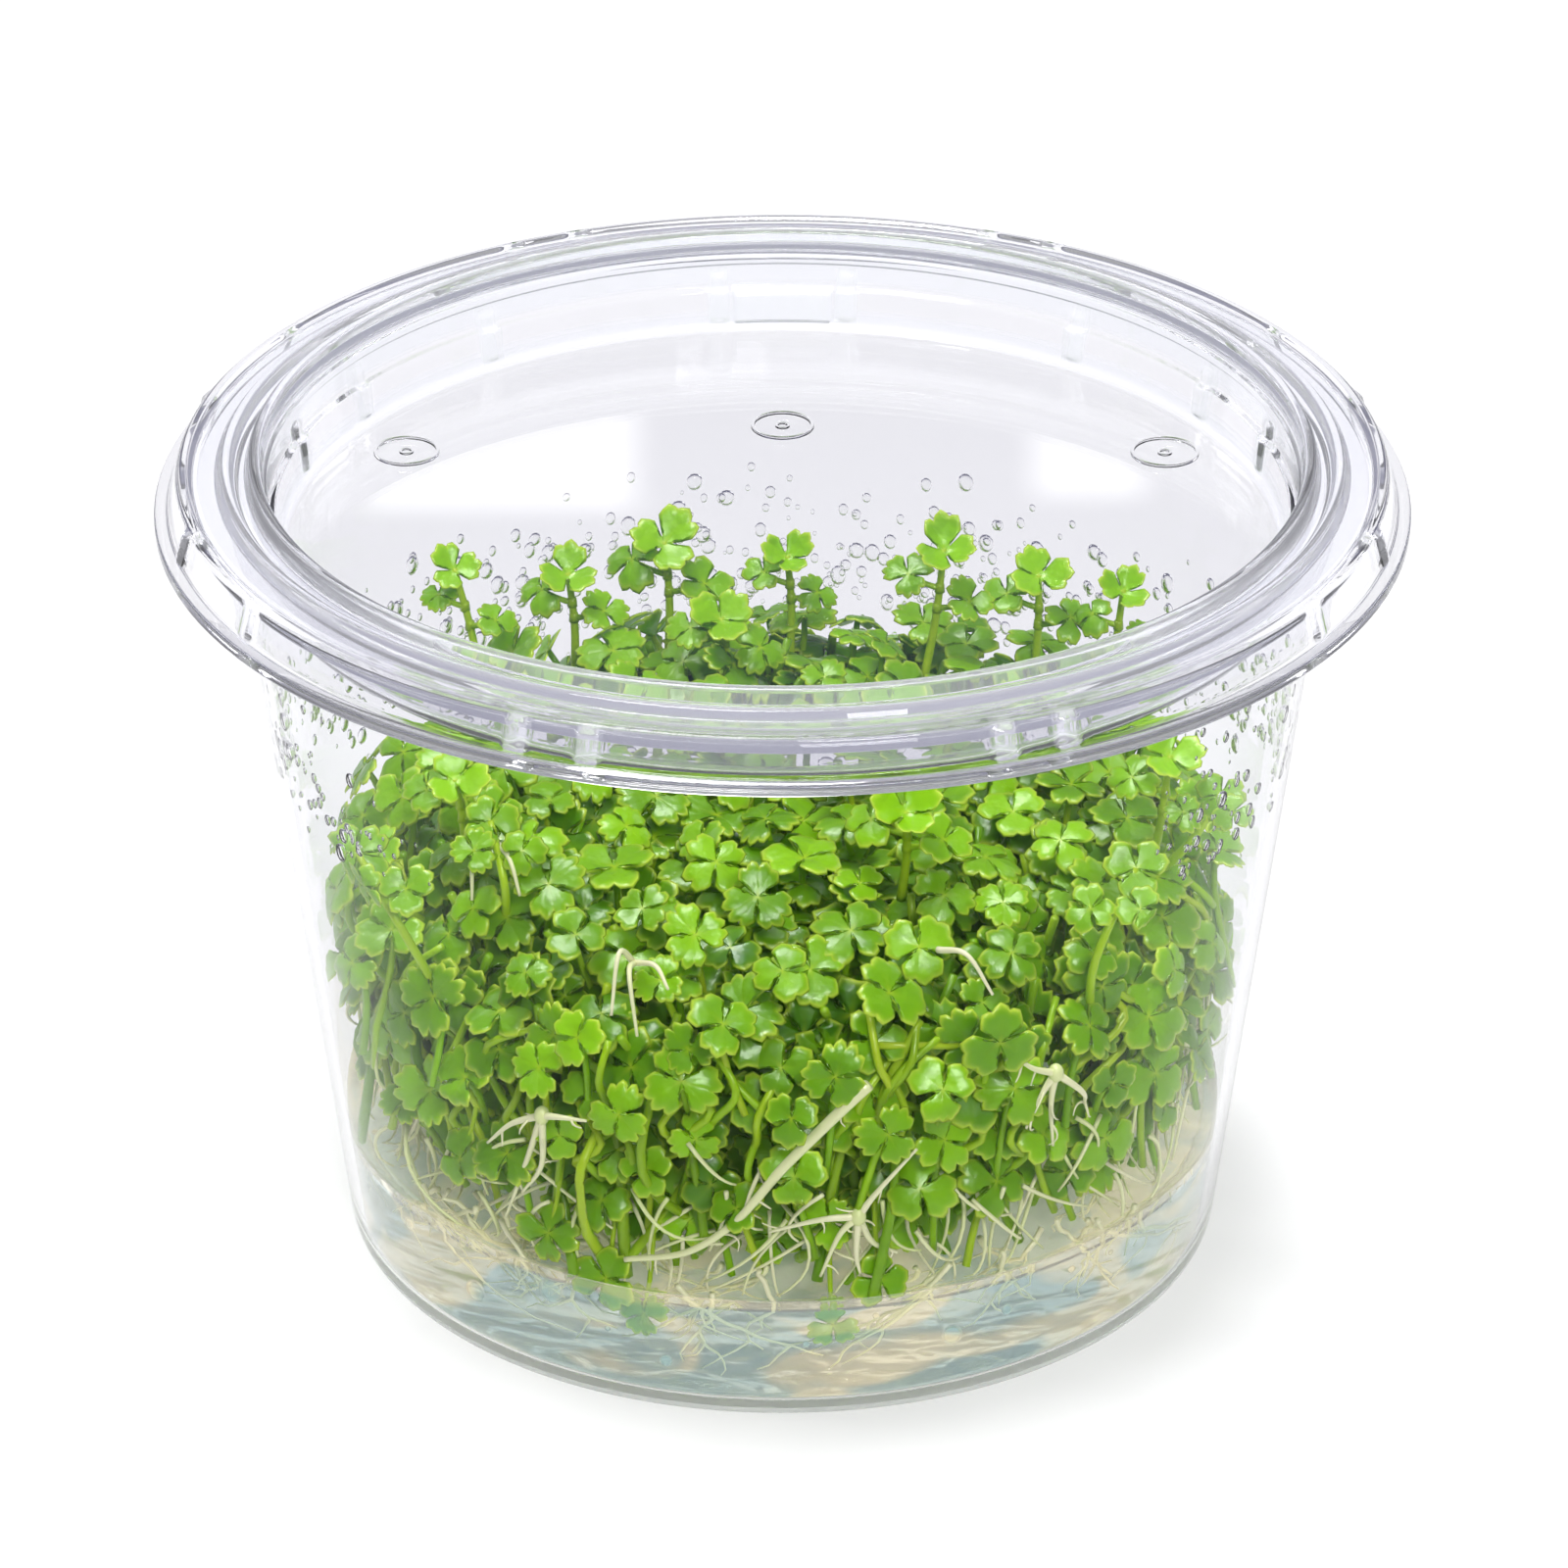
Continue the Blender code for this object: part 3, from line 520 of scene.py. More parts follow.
def ring(x, y, radius, width, proud, columns):
    """A low ring with a rounded top, with its foot sunk in the panel."""
    section = softened([
        (radius - width, PANEL_TOP - RING_SINK),
        (radius - width, PANEL_TOP + proud, 0.3 * width),
        (radius, PANEL_TOP + proud, 0.3 * width),
        (radius, PANEL_TOP - RING_SINK),
    ], steps=2)[::-1]
    degrees = np.arange(columns) * 360.0 / columns
    points = around(degrees[:, None], section[None, :, 0], section[None, :, 1]) + (x, y, 0.0)
    index = np.arange(columns * len(section)).reshape(columns, -1)
    beside = np.roll(index, -1, axis=0)
    after = np.roll(index, -1, axis=1)
    quads = np.stack([index, after, np.roll(beside, -1, axis=1), beside], axis=-1)
    return points.reshape(-1, 3), quads.reshape(-1, 4)


def joined(parts):
    """Points and faces of several closed parts as one set."""
    starts = np.cumsum([0] + [len(points) for points, faces in parts])
    faces = np.concatenate([faces + start for (points, faces), start in zip(parts, starts)])
    return np.concatenate([points for points, faces in parts]), faces


rings = []
for x, y, radius in VENTS:
    rings.append(ring(x * MM, y * MM, radius * MM, RING_WIDTH, RING_PROUD, 48))
    rings.append(ring(x * MM, y * MM, SMALL_RING_RADIUS, SMALL_RING_WIDTH, SMALL_RING_PROUD, 20))
ring_points, ring_faces = joined(rings)
ring_mesh = bpy.data.meshes.new("vent_rings")
ring_mesh.from_pydata(ring_points.tolist(), [], ring_faces.tolist())
ring_helper = bpy.data.objects.new("vent_rings", ring_mesh)
bpy.context.scene.collection.objects.link(ring_helper)
join = lid.modifiers.new("Join vents", "BOOLEAN")
join.operation = "UNION"
join.solver = "EXACT"
join.object = ring_helper
bpy.context.view_layer.update()
plain_lid = lid.data
lid.data = bpy.data.meshes.new_from_object(lid.evaluated_get(bpy.context.evaluated_depsgraph_get()))
lid.modifiers.clear()
bpy.data.objects.remove(ring_helper)
lid.data.shade_smooth()
lid.data.set_sharp_from_angle(angle=SHARP_ANGLE)
lid.data.materials.append(plastics["rim"])
lid.data.materials.append(plastics["rib"])
MILKY_FROM = 64.0 * MM
MILKY_UP_TO = 61.6 * MM
MILKY_RADIUS = 47.6 * MM
# Heights in millimetres between which a rib has the rib finish, and radii that part skirt, recess and panel
SKIRT_RIB_FINISH = (64.3, 67.1)
RECESS_RIB_FINISH = (60.6, 65.3)
SKIRT_FROM = 46.0 * MM
RECESS_UP_TO = 42.0 * MM
RECESS_FROM = 38.0 * MM


def on_rib(place):
    """Whether a point of the lid lies on a rib of its skirt or recess, or on the stop."""
    radius = place.xy.length
    turn = math.atan2(place.x, -place.y)
    in_skirt = radius > SKIRT_FROM
    ribs = SKIRT_RIBS if in_skirt else RECESS_RIBS
    low, high = SKIRT_RIB_FINISH if in_skirt else RECESS_RIB_FINISH
    if not low * MM < place.z < high * MM or radius < RECESS_FROM:
        return False
    beside = any(abs(turn - math.radians(rib)) * radius < 0.55 * RIB_WIDTH for rib in ribs)
    behind = math.pi - abs(turn) < math.radians(STOP_HALF_ANGLE + 0.4)
    return beside or (radius < RECESS_UP_TO and behind and place.z < LEDGE_HEIGHT)


for face in lid.data.polygons:
    thick = face.center.z > MILKY_FROM or face.center.z < MILKY_UP_TO
    milky = PANEL_RADIUS < face.center.xy.length < MILKY_RADIUS and thick
    face.material_index = 2 if on_rib(face.center) else int(milky)
print("lid faces before and after the vents:", len(plain_lid.polygons), len(lid.data.polygons))

# %% [markdown]
# The gel is poured warm and sets level, but it creeps up the wall a little, and the roots dent its top.
# It is a turned skin like the cup, with gentle noise on the top. The air bubbles caught in it are small
# spheres turned inside out in the same mesh, because a bubble is a hole in the gel. The gel is a little
# cloudy, so it keeps a share of plain coloured surface beside the clear one: grey-green with cream clouds,
# which are partly its own cloudiness and partly painted highlights of light bent through it. The clouds
# also carry a faint painted glow, and the gel's top and its rim up the wall are painted cream as a sheen.

# %% Gel
GEL_GREEN = (0.66, 0.84, 0.83, 1.0)
GEL_CREAM = (1.0, 0.93, 0.70, 1.0)
GEL_PAINTED_GLOW = (1.0, 0.86, 0.6, 1.0)
NO_GLOW = (0.0, 0.0, 0.0, 1.0)
GEL_SHADE = (0.985, 0.99, 0.97)
clear_gel, nodes, shader = clear_finish("clear_gel", (0.8, 0.8, 0.7), 1.34, GEL_SHADE, 0.76, 0.5, 0.03)
place = nodes.add("ShaderNodeTexCoord", output="Object")
squashed = nodes.add("ShaderNodeVectorMath", {"operation": "MULTIPLY"}, {0: place, 1: (1.0, 1.0, 1.9)})
# The cream clouds are partly the gel's own cloudiness and partly painted highlights of light bent through it
clouds_and_painted_highlights = nodes.slide(nodes.grain(squashed, 62.0, distortion=1.6), 0.46, 0.58)
# Painted sheen: the gel's top and its rim up the wall are painted cream, as if lit; the same band gets
# ripples
top_sheen_and_ripples = nodes.slide(nodes.parts(place)[2], 10.0 * MM, 10.4 * MM)
nodes.put(shader.inputs["Base Color"], nodes.mix(clouds_and_painted_highlights + top_sheen_and_ripples * 0.8, GEL_GREEN, GEL_CREAM))
# Painted glow: the cream clouds give off a faint light of their own, standing in for light gathered in the
# gel
nodes.put(shader.inputs["Emission Color"], nodes.mix(clouds_and_painted_highlights, NO_GLOW, GEL_PAINTED_GLOW))
shader.inputs["Emission Strength"].default_value = 0.08
ripples = nodes.grain(place, 340.0, distortion=0.6)
nodes.put(shader.inputs["Normal"], nodes.uneven(ripples * top_sheen_and_ripples, 0.5, 0.8 * MM))
print("gel finish nodes:", len(nodes.tree.nodes))

GEL_GAP = 0.06 * MM
GEL_FLOOR = CUP_WALL + GEL_GAP
GEL_TOP = 10.5 * MM
GEL_EDGE_TOP = 11.2 * MM
DENT_DEPTH = 0.22 * MM
DENTS_PER_METRE = 170.0
gel_top_radii = np.linspace(cup_inner(GEL_TOP) - 1.3 * MM, 1.5 * MM, 26)
gel_outline = np.concatenate([
    softened([
        (0.0, GEL_FLOOR),
        (cup_inner(GEL_FLOOR) - GEL_GAP, GEL_FLOOR, 1.0 * MM),
        (cup_inner(GEL_EDGE_TOP) - GEL_GAP, GEL_EDGE_TOP, 0.1 * MM),
        (cup_inner(GEL_TOP) - 0.9 * MM, GEL_TOP + 0.05 * MM, 0.5 * MM),
        (gel_top_radii[0], GEL_TOP),
    ]),
    np.stack([gel_top_radii[1:], np.full(len(gel_top_radii) - 1, GEL_TOP)], axis=-1),
    [(0.0, GEL_TOP)],
])
gel_points, gel_faces = turned(held(gel_outline, 0.8 * MM), even_columns)
gel_radii = np.hypot(gel_points[:, 0], gel_points[:, 1])
on_top = (gel_points[:, 2] > GEL_TOP - 0.1 * MM) & (gel_radii < gel_top_radii[1])
for index in np.nonzero(on_top)[0]:
    gel_points[index, 2] += DENT_DEPTH * noise.noise(Vector(gel_points[index]) * DENTS_PER_METRE)


def ball(radius, columns=14, rows=9):
    """A small sphere as a turned half circle."""
    turn = np.linspace(-math.pi / 2, math.pi / 2, rows)
    outline = np.stack([radius * np.cos(turn), radius * np.sin(turn)], axis=-1)
    outline[[0, -1], 0] = 0.0
    points, faces = turned(outline, np.arange(columns) * 360.0 / columns)
    quads = faces[0]
    halves = np.concatenate([quads[:, [0, 1, 2]], quads[:, [0, 2, 3]]])
    return points, np.concatenate([halves, faces[1], faces[2]])


# Bubbles seen through the front, as degrees from the front, height and radius in millimetres
BUBBLES = (
    (-56.8, 8.3, 0.6), (-44.5, 5.3, 0.95), (-31.4, 8.4, 1.1), (-15.3, 4.1, 0.55), (22.6, 5.6, 0.9),
    (30.2, 6.9, 0.5), (40.0, 8.7, 0.35), (11.9, 9.0, 0.3), (-23.0, 6.4, 0.25), (3.0, 6.6, 0.3),
)
BUBBLE_DEPTH = 0.35 * MM
rng = np.random.default_rng(7)
bubbles = [(degrees, height * MM, radius * MM, BUBBLE_DEPTH) for degrees, height, radius in BUBBLES]
for degrees in rng.uniform(48.0, 310.0, 16):
    height, radius, depth = rng.uniform(3.5, 9.3), rng.uniform(0.15, 0.7), rng.uniform(1.0, 5.0)
    bubbles.append((degrees, height * MM, radius * MM, depth * MM))
for degrees, height, radius, depth in bubbles:
    points, faces = ball(radius)
    middle = around(degrees, cup_inner(height) - depth - radius, height)
    gel_faces.append(faces[:, ::-1] + len(gel_points))
    gel_points = np.concatenate([gel_points, points + middle])
add_piece("nutrient_gel", gel_points, gel_faces, clear_gel, ["gel"])
print("bubbles in the gel:", len(bubbles))

# %% [markdown]
# Everything green is one skin with different marks. Each point carries three numbers called growth: how
# young and bright the leaf is, which the mat's deeper layers have less of as painted shade, how near the
# point is to the leaf's margin, which is paler partly of itself and partly as a painted rim highlight,
# and how near it is to a vein or stalk. The finish reads them. A picture wrapped round each leaf could do
# the same, but hundreds of joined leaves are lighter this way, and no picture is needed.
#
# A real leaf glows because light comes through it, so part of the light is let through to the other
# side. Its gloss is a thin wax, given by a coat, and the cells make the surface faintly uneven.

# %% Leaf and stalk finish
DEEP_GREEN = (0.022, 0.135, 0.0, 1.0)
BRIGHT_GREEN = (0.36, 0.74, 0.0, 1.0)
MARGIN_GREEN_AND_RIM_HIGHLIGHT = (0.80, 0.96, 0.08, 1.0)
STALK_GREEN = (0.66, 0.80, 0.03, 1.0)
THROUGH_LEAF = (0.44, 0.82, 0.0, 1.0)
LIGHT_THROUGH = 0.33

leaf_values = {"Specular IOR Level": 0.1, "Coat Weight": 0.9, "Coat Roughness": 0.25, "Coat IOR": 1.42}
leaf_skin, nodes, shader = new_finish("leaf_skin", leaf_values)
growth = nodes.add("ShaderNodeAttribute", {"attribute_name": "growth"}, output="Vector")
youth, margin, vein = nodes.parts(growth)
place = nodes.add("ShaderNodeTexCoord", output="Object")
blotch = nodes.grain(place, 420.0, 2.0)
cells = nodes.grain(place, 3800.0)
puckers = nodes.grain(place, 1100.0)
# The youth mark also holds painted shade: the mat's deeper leaves are given less, so they are painted darker
green = nodes.mix(youth * 0.75 + blotch * 0.5 - 0.12, DEEP_GREEN, BRIGHT_GREEN)
# The pale margin is partly the leaf's own and partly a painted highlight along its rounded rim
edged_and_rim_lit = nodes.mix(margin ** 3.0 * 0.95, green, MARGIN_GREEN_AND_RIM_HIGHLIGHT)
coloured = nodes.mix(vein ** 4.0 * 0.85, edged_and_rim_lit, STALK_GREEN)
nodes.put(shader.inputs["Base Color"], coloured)
nodes.put(shader.inputs["Roughness"], cells * 0.2 + 0.22)
nodes.put(shader.inputs["Normal"], nodes.uneven(puckers + cells * 0.1, 0.6, 0.4 * MM))
glow = nodes.add("ShaderNodeBsdfTranslucent", inputs={"Color": THROUGH_LEAF})
seen = Signal(nodes, shader.outputs["BSDF"])
lit = nodes.add("ShaderNodeMixShader", inputs={0: LIGHT_THROUGH, 1: seen, 2: glow})
nodes.put(leaf_skin.node_tree.nodes["Material Output"].inputs["Surface"], lit)
print("leaf finish nodes:", len(nodes.tree.nodes))

# %% [markdown]
# Roots that never saw much light are cream white and matt, with a hint of green near a joint.

# %% Root finish
ROOT_CREAM = (0.80, 0.78, 0.50, 1.0)
ROOT_GREEN = (0.62, 0.72, 0.26, 1.0)
root_skin, nodes, shader = new_finish("root_skin", {"Roughness": 0.42, "Coat Weight": 0.2})
growth = nodes.add("ShaderNodeAttribute", {"attribute_name": "growth"}, output="Vector")
youth = nodes.parts(growth)[0]
streaks = nodes.grain(nodes.add("ShaderNodeTexCoord", output="Object"), 900.0, 2.0)
nodes.put(shader.inputs["Base Color"], nodes.mix(youth * 0.8 + streaks * 0.3 - 0.1, ROOT_CREAM, ROOT_GREEN))
nodes.put(shader.inputs["Normal"], nodes.uneven(streaks, 0.2, 0.1 * MM))
print("root finish nodes:", len(nodes.tree.nodes))

# %% [markdown]
# A pennywort leaf has wedge-shaped lobes, three or four here, that meet at the stalk, with a narrow cleft
# between each two and round scallops along each outer edge. Drawing it once and copying it would look
# stamped, so a function draws a rim from a few random numbers, and 37 different leaves share the work.
# The rim is followed inward by rings, which carry the leaf's thickness and its dish.

# %% One leaf
# Thickness and the cleft's bottom as shares of the reach, and a lobe's half angle as a share of its pitch
LEAF_THICKNESS = 0.11
CLEFT = 0.2
LOBE_SHARE = 0.44
LOBE_ROUNDNESS = 0.19
# A lobe's side from the cleft outward, as shares of its half angle and its reach, and place across it
LOBE_SIDE = ((0.82, 0.46, 0.9), (1.0, 0.70, 1.0))
# Rings from the stalk outward and round to the underside, as share of the reach and of the thickness
RINGS = ((0.34, 0.95), (0.74, 0.95), (0.94, 0.8), (1.0, 0.0), (0.6, -0.9))
RING_MARGINS = (0.0, 0.1, 0.84, 1.0, 0.3)


def leaf_rim(lobes, scallops, rng, fine):
    """Rows of angle, reach, place across the lobe (0 at its vein, 1 at its sides) and the lobe's lift."""
    pitch = math.tau / lobes
    half = LOBE_SHARE * pitch
    crests = ((0.16, 0.95), (0.5, 1.03), (0.84, 0.95)) if fine else ((0.5, 1.02),)
    rim = []
    for lobe in range(lobes):
        middle = pitch * (lobe + rng.uniform(-0.05, 0.05))
        reach = rng.uniform(0.88, 1.04)
        lift = rng.uniform(-0.2, 0.26)
        scalloped = []
        for scallop in range(scallops):
            scalloped += [(2.0 * (scallop + share) / scallops - 1.0, crest) for share, crest in crests]
            if scallop < scallops - 1:
                across = 2.0 * (scallop + 1) / scallops - 1.0
                notch = rng.uniform(0.76, 0.86) if across == 0.0 else rng.uniform(0.85, 0.91)
                scalloped.append((across, notch))
        rim.append((middle - 0.5 * pitch, CLEFT, 1.0, lift))
        rim += [(middle - turn * half, out * reach, across, lift) for turn, out, across in LOBE_SIDE]
        for across, out in scalloped:
            bulge = 1.0 - LOBE_ROUNDNESS * across ** 2
            rim.append((middle + 0.93 * half * across, reach * out * bulge, abs(across), lift))
        rim += [(middle + turn * half, out * reach, across, lift) for turn, out, across in LOBE_SIDE[::-1]]
    return np.array(rim)


def leaf_shape(lobes, scallops, rng, fine, dish):
    """Points, triangles and growth marks of one leaf of reach 1, lying in its own plane with its top up."""
    angle, reach, across, lift = leaf_rim(lobes, scallops, rng, fine).T
    flat = np.stack([np.cos(angle) * reach, np.sin(angle) * reach], axis=-1)
    phase = rng.uniform(0.0, math.tau)
    fold = rng.uniform(-0.06, 0.10)
    pit = rng.uniform(0.12, 0.34)
    droop = rng.uniform(0.22, 0.5)
    points = [np.array([[0.0, 0.0, 0.5 * LEAF_THICKNESS]])]
    marks = [np.array([[0.0, 0.0, 1.0]])]
    for (share, thick), rim_mark in zip(RINGS, RING_MARGINS):
        out = share * reach
        height = (dish - droop) * out ** 2 + (pit + lift) * out + fold * out * across ** 1.5
        height = height + 0.06 * np.sin(3.0 * angle + phase) * out ** 2
        height = height + 0.5 * LEAF_THICKNESS * thick
        points.append(np.column_stack([flat * share, height]))
        veined = np.clip(0.75 - 2.4 * across, 0.0, 1.0) * (1.0 - 0.6 * share)
        marks.append(np.column_stack([np.zeros_like(out), rim_mark * np.ones_like(out), veined]))
    points.append(np.array([[0.0, 0.0, -0.5 * LEAF_THICKNESS]]))
    marks.append(np.array([[0.0, 0.4, 0.6]]))
    count = len(angle)
    index = np.arange(count)
    after = (index + 1) % count
    rings = [1 + count * ring for ring in range(len(RINGS))]
    faces = [np.stack([0 * index, rings[0] + index, rings[0] + after], axis=-1)]
    for inner, outer in zip(rings, rings[1:]):
        faces.append(np.stack([inner + index, outer + index, outer + after], axis=-1))
        faces.append(np.stack([inner + index, outer + after, inner + after], axis=-1))
    last = rings[-1] + count
    faces.append(np.stack([0 * index + last, rings[-1] + after, rings[-1] + index], axis=-1))
    return np.concatenate(points), np.concatenate(faces), np.concatenate(marks)


def pick(leaves, rng):
    return leaves[rng.integers(len(leaves))]


rng = np.random.default_rng(21)
# Kinds of leaf, as the number of lobes and of scallops on each
KINDS = ((3, 2), (3, 4), (3, 3), (3, 4), (3, 2), (4, 2), (3, 4), (3, 3))
open_leaves = [leaf_shape(*kind, rng, True, rng.uniform(-0.10, 0.12)) for kind in KINDS * 3]
plain_leaves = [leaf_shape(*kind, rng, False, rng.uniform(-0.12, 0.12)) for kind in KINDS]
young_leaves = [leaf_shape(3, 3, rng, True, rng.uniform(0.4, 0.65)) for kind in range(5)]
print("triangles in a fine leaf and a plain one:", len(open_leaves[0][1]), len(plain_leaves[0][1]))

# %% [markdown]
# A stalk, stem or root is a thin tube along a curve. Blender's curves with a bevel would do for a few.
# Here there are thousands, so a function lays rings of points round each route, and a bunch gathers the
# parts of one mesh. The bunch also presses whatever would poke through the cup flat against its wall,
# as the real leaves are.

# %% Tubes and bunches
WALL_CLEARANCE = 0.35 * MM
UP = np.array([0.0, 0.0, 1.0]) * MM


def tube(route, start_radius, end_radius, sides, mark):
    """A closed tapering tube along a route, with the same growth mark all over."""
    route = np.asarray(route, float)
    ahead = np.gradient(route, axis=0)
    ahead /= np.linalg.norm(ahead, axis=1)[:, None]
    across = np.eye(3)[np.argmin(np.abs(route[-1] - route[0]))]
    side = np.cross(ahead, across)
    side /= np.linalg.norm(side, axis=1)[:, None]
    other = np.cross(ahead, side)
    turn = np.arange(sides) * math.tau / sides
    radii = np.linspace(start_radius, end_radius, len(route))[:, None, None]
    circle = np.cos(turn)[None, :, None] * side[:, None] + np.sin(turn)[None, :, None] * other[:, None]
    points = np.concatenate([(route[:, None] + radii * circle).reshape(-1, 3), route[[0, -1]]])
    index = np.arange(len(route) * sides).reshape(len(route), sides)
    after = np.roll(index, -1, axis=1)
    first, last = len(points) - 2, len(points) - 1
    faces = np.concatenate([
        np.stack([index[:-1], after[:-1], after[1:]], axis=-1).reshape(-1, 3),
        np.stack([index[:-1], after[1:], index[1:]], axis=-1).reshape(-1, 3),
        np.stack([np.full(sides, first), after[0], index[0]], axis=-1),
        np.stack([np.full(sides, last), index[-1], after[-1]], axis=-1),
    ])
    return points, faces, np.tile(mark, (len(points), 1))


def unit(vector):
    return vector / np.linalg.norm(vector)


def bent(start, pull, end, steps):
    """A curve from start to end that leans towards pull."""
    t = np.linspace(0.0, 1.0, steps + 1)[:, None]
    return (1 - t) ** 2 * start + 2 * t * (1 - t) * pull + t ** 2 * end


def smooth_route(points, steps):
    """A Catmull-Rom curve through the points, with a number of steps in each span."""
    points = np.asarray(points, float)
    padded = np.concatenate([[2 * points[0] - points[1]], points, [2 * points[-1] - points[-2]]])
    t = np.arange(steps)[:, None] / steps
    spans = [
        0.5 * (2 * b + (c - a) * t + (2 * a - 5 * b + 4 * c - d) * t ** 2 + (3 * b - a - 3 * c + d) * t ** 3)
        for a, b, c, d in zip(padded, padded[1:], padded[2:], padded[3:])
    ]
    return np.concatenate([*spans, points[-1:]])


class Bunch:
    """Many small closed parts, gathered to become one mesh."""

    def __init__(self):
        self.parts = []
        self.count = 0

    def add(self, points, faces, marks):
        reach = np.hypot(points[:, 0], points[:, 1])
        limit = cup_inner(points[:, 2]) - WALL_CLEARANCE
        points[:, :2] *= np.minimum(1.0, limit / np.maximum(reach, MM))[:, None]
        self.parts.append((points, faces + self.count, marks))
        self.count += len(points)

    def leaf(self, shape, centre, facing, heading, size, youth):
        up = unit(facing)
        ahead = unit(heading - up * heading.dot(up))
        points, faces, marks = shape
        turned_points = points @ np.stack([ahead, np.cross(up, ahead), up]) * size + centre
        self.add(turned_points, faces, marks + (youth, 0.0, 0.0))
        return turned_points, up

    def tube(self, route, start_radius, end_radius, sides, mark):
        self.add(*tube(route, start_radius, end_radius, sides, mark))

    def piece(self, name, material, slot=None, replaced=()):
        points, faces, marks = (np.concatenate(group) for group in zip(*self.parts))
        return add_piece(name, points, [faces], material, replaced, marks, sharp=False)


# %% [markdown]
# The mat is not solid: its leaves stand in four loose layers on thin stalks, bright outside and deeper
# and darker within, where little light comes. That darkening is painted shade: deeper layers get less
# youth, and their stalks less of the pale stalk green. Leaves on the side face outward and up, and those
# on top lean a little to the front. Spreading them at random leaves bald spots and clumps, so each layer's
# leaves are set a golden turn apart, the way seeds sit in a sunflower, and then nudged.

# %% Mat of leaves
MAT_BOTTOM = 11.6 * MM
MAT_SHOULDER = 33.5 * MM
MAT_TOP = 41.0 * MM
MAT_INSET = 3.0 * MM
FOOT_INSET = 6.0 * MM
FOOT_CURVE_TOP = 21.0 * MM
SIDE_SHARE = 0.56
GOLDEN_TURN = 137.508
LEAF_SIZE = 2.95 * MM
STALK_RADIUS = 0.28 * MM
TOP_SINK = 1.6 * MM
FRONT_LEAN = 0.28
SIDE_LIFT = 0.55
# Layers from outside in, as depth, number of leaves and the least and greatest youth of a leaf, which is
# lower within as painted shade
LAYERS = (
    ("leaves_outer", -0.9 * MM, 220, (0.35, 1.0)),
    ("leaves_second", 1.6 * MM, 255, (0.1, 0.65)),
    ("leaves_third", 4.0 * MM, 315, (0.0, 0.4)),
    ("leaves_inner", 7.0 * MM, 340, (0.0, 0.2)),
)


def mat_height(radius):
    """How high the mat stands at a distance from the axis."""
    edge = cup_inner(MAT_SHOULDER) - MAT_INSET
    return MAT_SHOULDER + (MAT_TOP - MAT_SHOULDER) * math.sqrt(1.0 - min(radius / edge, 1.0) ** 4)


def mat_surface(degrees, share):
    """A point on the mat and the way it faces. share is 0 at the mat's foot and 1 at its middle."""
    if share < SIDE_SHARE:
        height = MAT_BOTTOM + (MAT_SHOULDER - MAT_BOTTOM) * share / SIDE_SHARE
        undercut = FOOT_INSET * max((FOOT_CURVE_TOP - height) / (FOOT_CURVE_TOP - MAT_BOTTOM), 0.0) ** 1.6
        return around(degrees, cup_inner(height) - MAT_INSET - undercut, height), around(degrees, 1.0, 0.0)
    outward = math.sqrt((1.0 - share) / (1.0 - SIDE_SHARE))
    radius = (cup_inner(MAT_SHOULDER) - MAT_INSET) * outward
    facing = around(degrees, 0.8 * outward ** 3, 1.0)
    return around(degrees, radius, mat_height(radius)), unit(facing)


rng = np.random.default_rng(3)
stalks = Bunch()
bead_places = []
for layer, (name, depth, count, youths_with_painted_shade) in enumerate(LAYERS):
    leaves = Bunch()
    shapes = open_leaves if layer < 2 else plain_leaves
    for index in range(count):
        share = 0.96 * (index + rng.uniform(0.1, 0.9)) / count + 0.04
        point, out = mat_surface(GOLDEN_TURN * index + 61.0 * layer + rng.uniform(-3.0, 3.0), share)
        on_side = share < SIDE_SHARE
        centre = point - out * (depth + rng.uniform(-0.9, 0.9) * MM + (0.0 if on_side else TOP_SINK))
        facing = unit(out + (0.0, -FRONT_LEAN, SIDE_LIFT * on_side) + rng.uniform(-0.38, 0.38, 3))
        size = LEAF_SIZE * rng.uniform(0.74, 1.2)
        shape = pick(shapes, rng)
        skin, up = leaves.leaf(shape, centre, facing, rng.normal(size=3), size, rng.uniform(*youths_with_painted_shade))
        if layer < 2:
            ring = (len(skin) - 2) // len(RINGS)
            bead_places += [(skin[place], up) for place in rng.integers(1 + ring, 1 + 3 * ring, 3)]
        if layer < 3:
            downward = 3.4 - 0.9 * layer
            root = centre - unit(out + (0.0, 0.0, downward)) * rng.uniform(7.0, 12.0) * MM
            root = root + rng.normal(size=3) * (1.6 * MM, 1.6 * MM, 0.6 * MM)
            root[2] = max(root[2], GEL_TOP)
            # The vein mark falls with each deeper layer, so deeper stalks are painted darker as shade within
            # the mat
            mark = (rng.uniform(0.5, 1.0), 0.0, rng.uniform(0.5, 1.0) - 0.2 * layer)
            pull = centre - facing * 2.4 * MM - UP
            stalks.tube(bent(root, pull, centre, 5), 1.25 * STALK_RADIUS, STALK_RADIUS, 5, mark)
    leaves.piece(name, leaf_skin, "leaf_green", ["leaf_mat"])
stalks.piece("leaf_stalks", leaf_skin, "leaf_green")

# %% [markdown]
# Under the leaves the stems creep over the gel and climb. Each one starts in the gel and bends its own
# way up to the leaves, so that the dark gaps between leaves show stems and never an empty middle. Some
# more climb the mat's side close under its leaves, where the cup's wall lets them be seen.

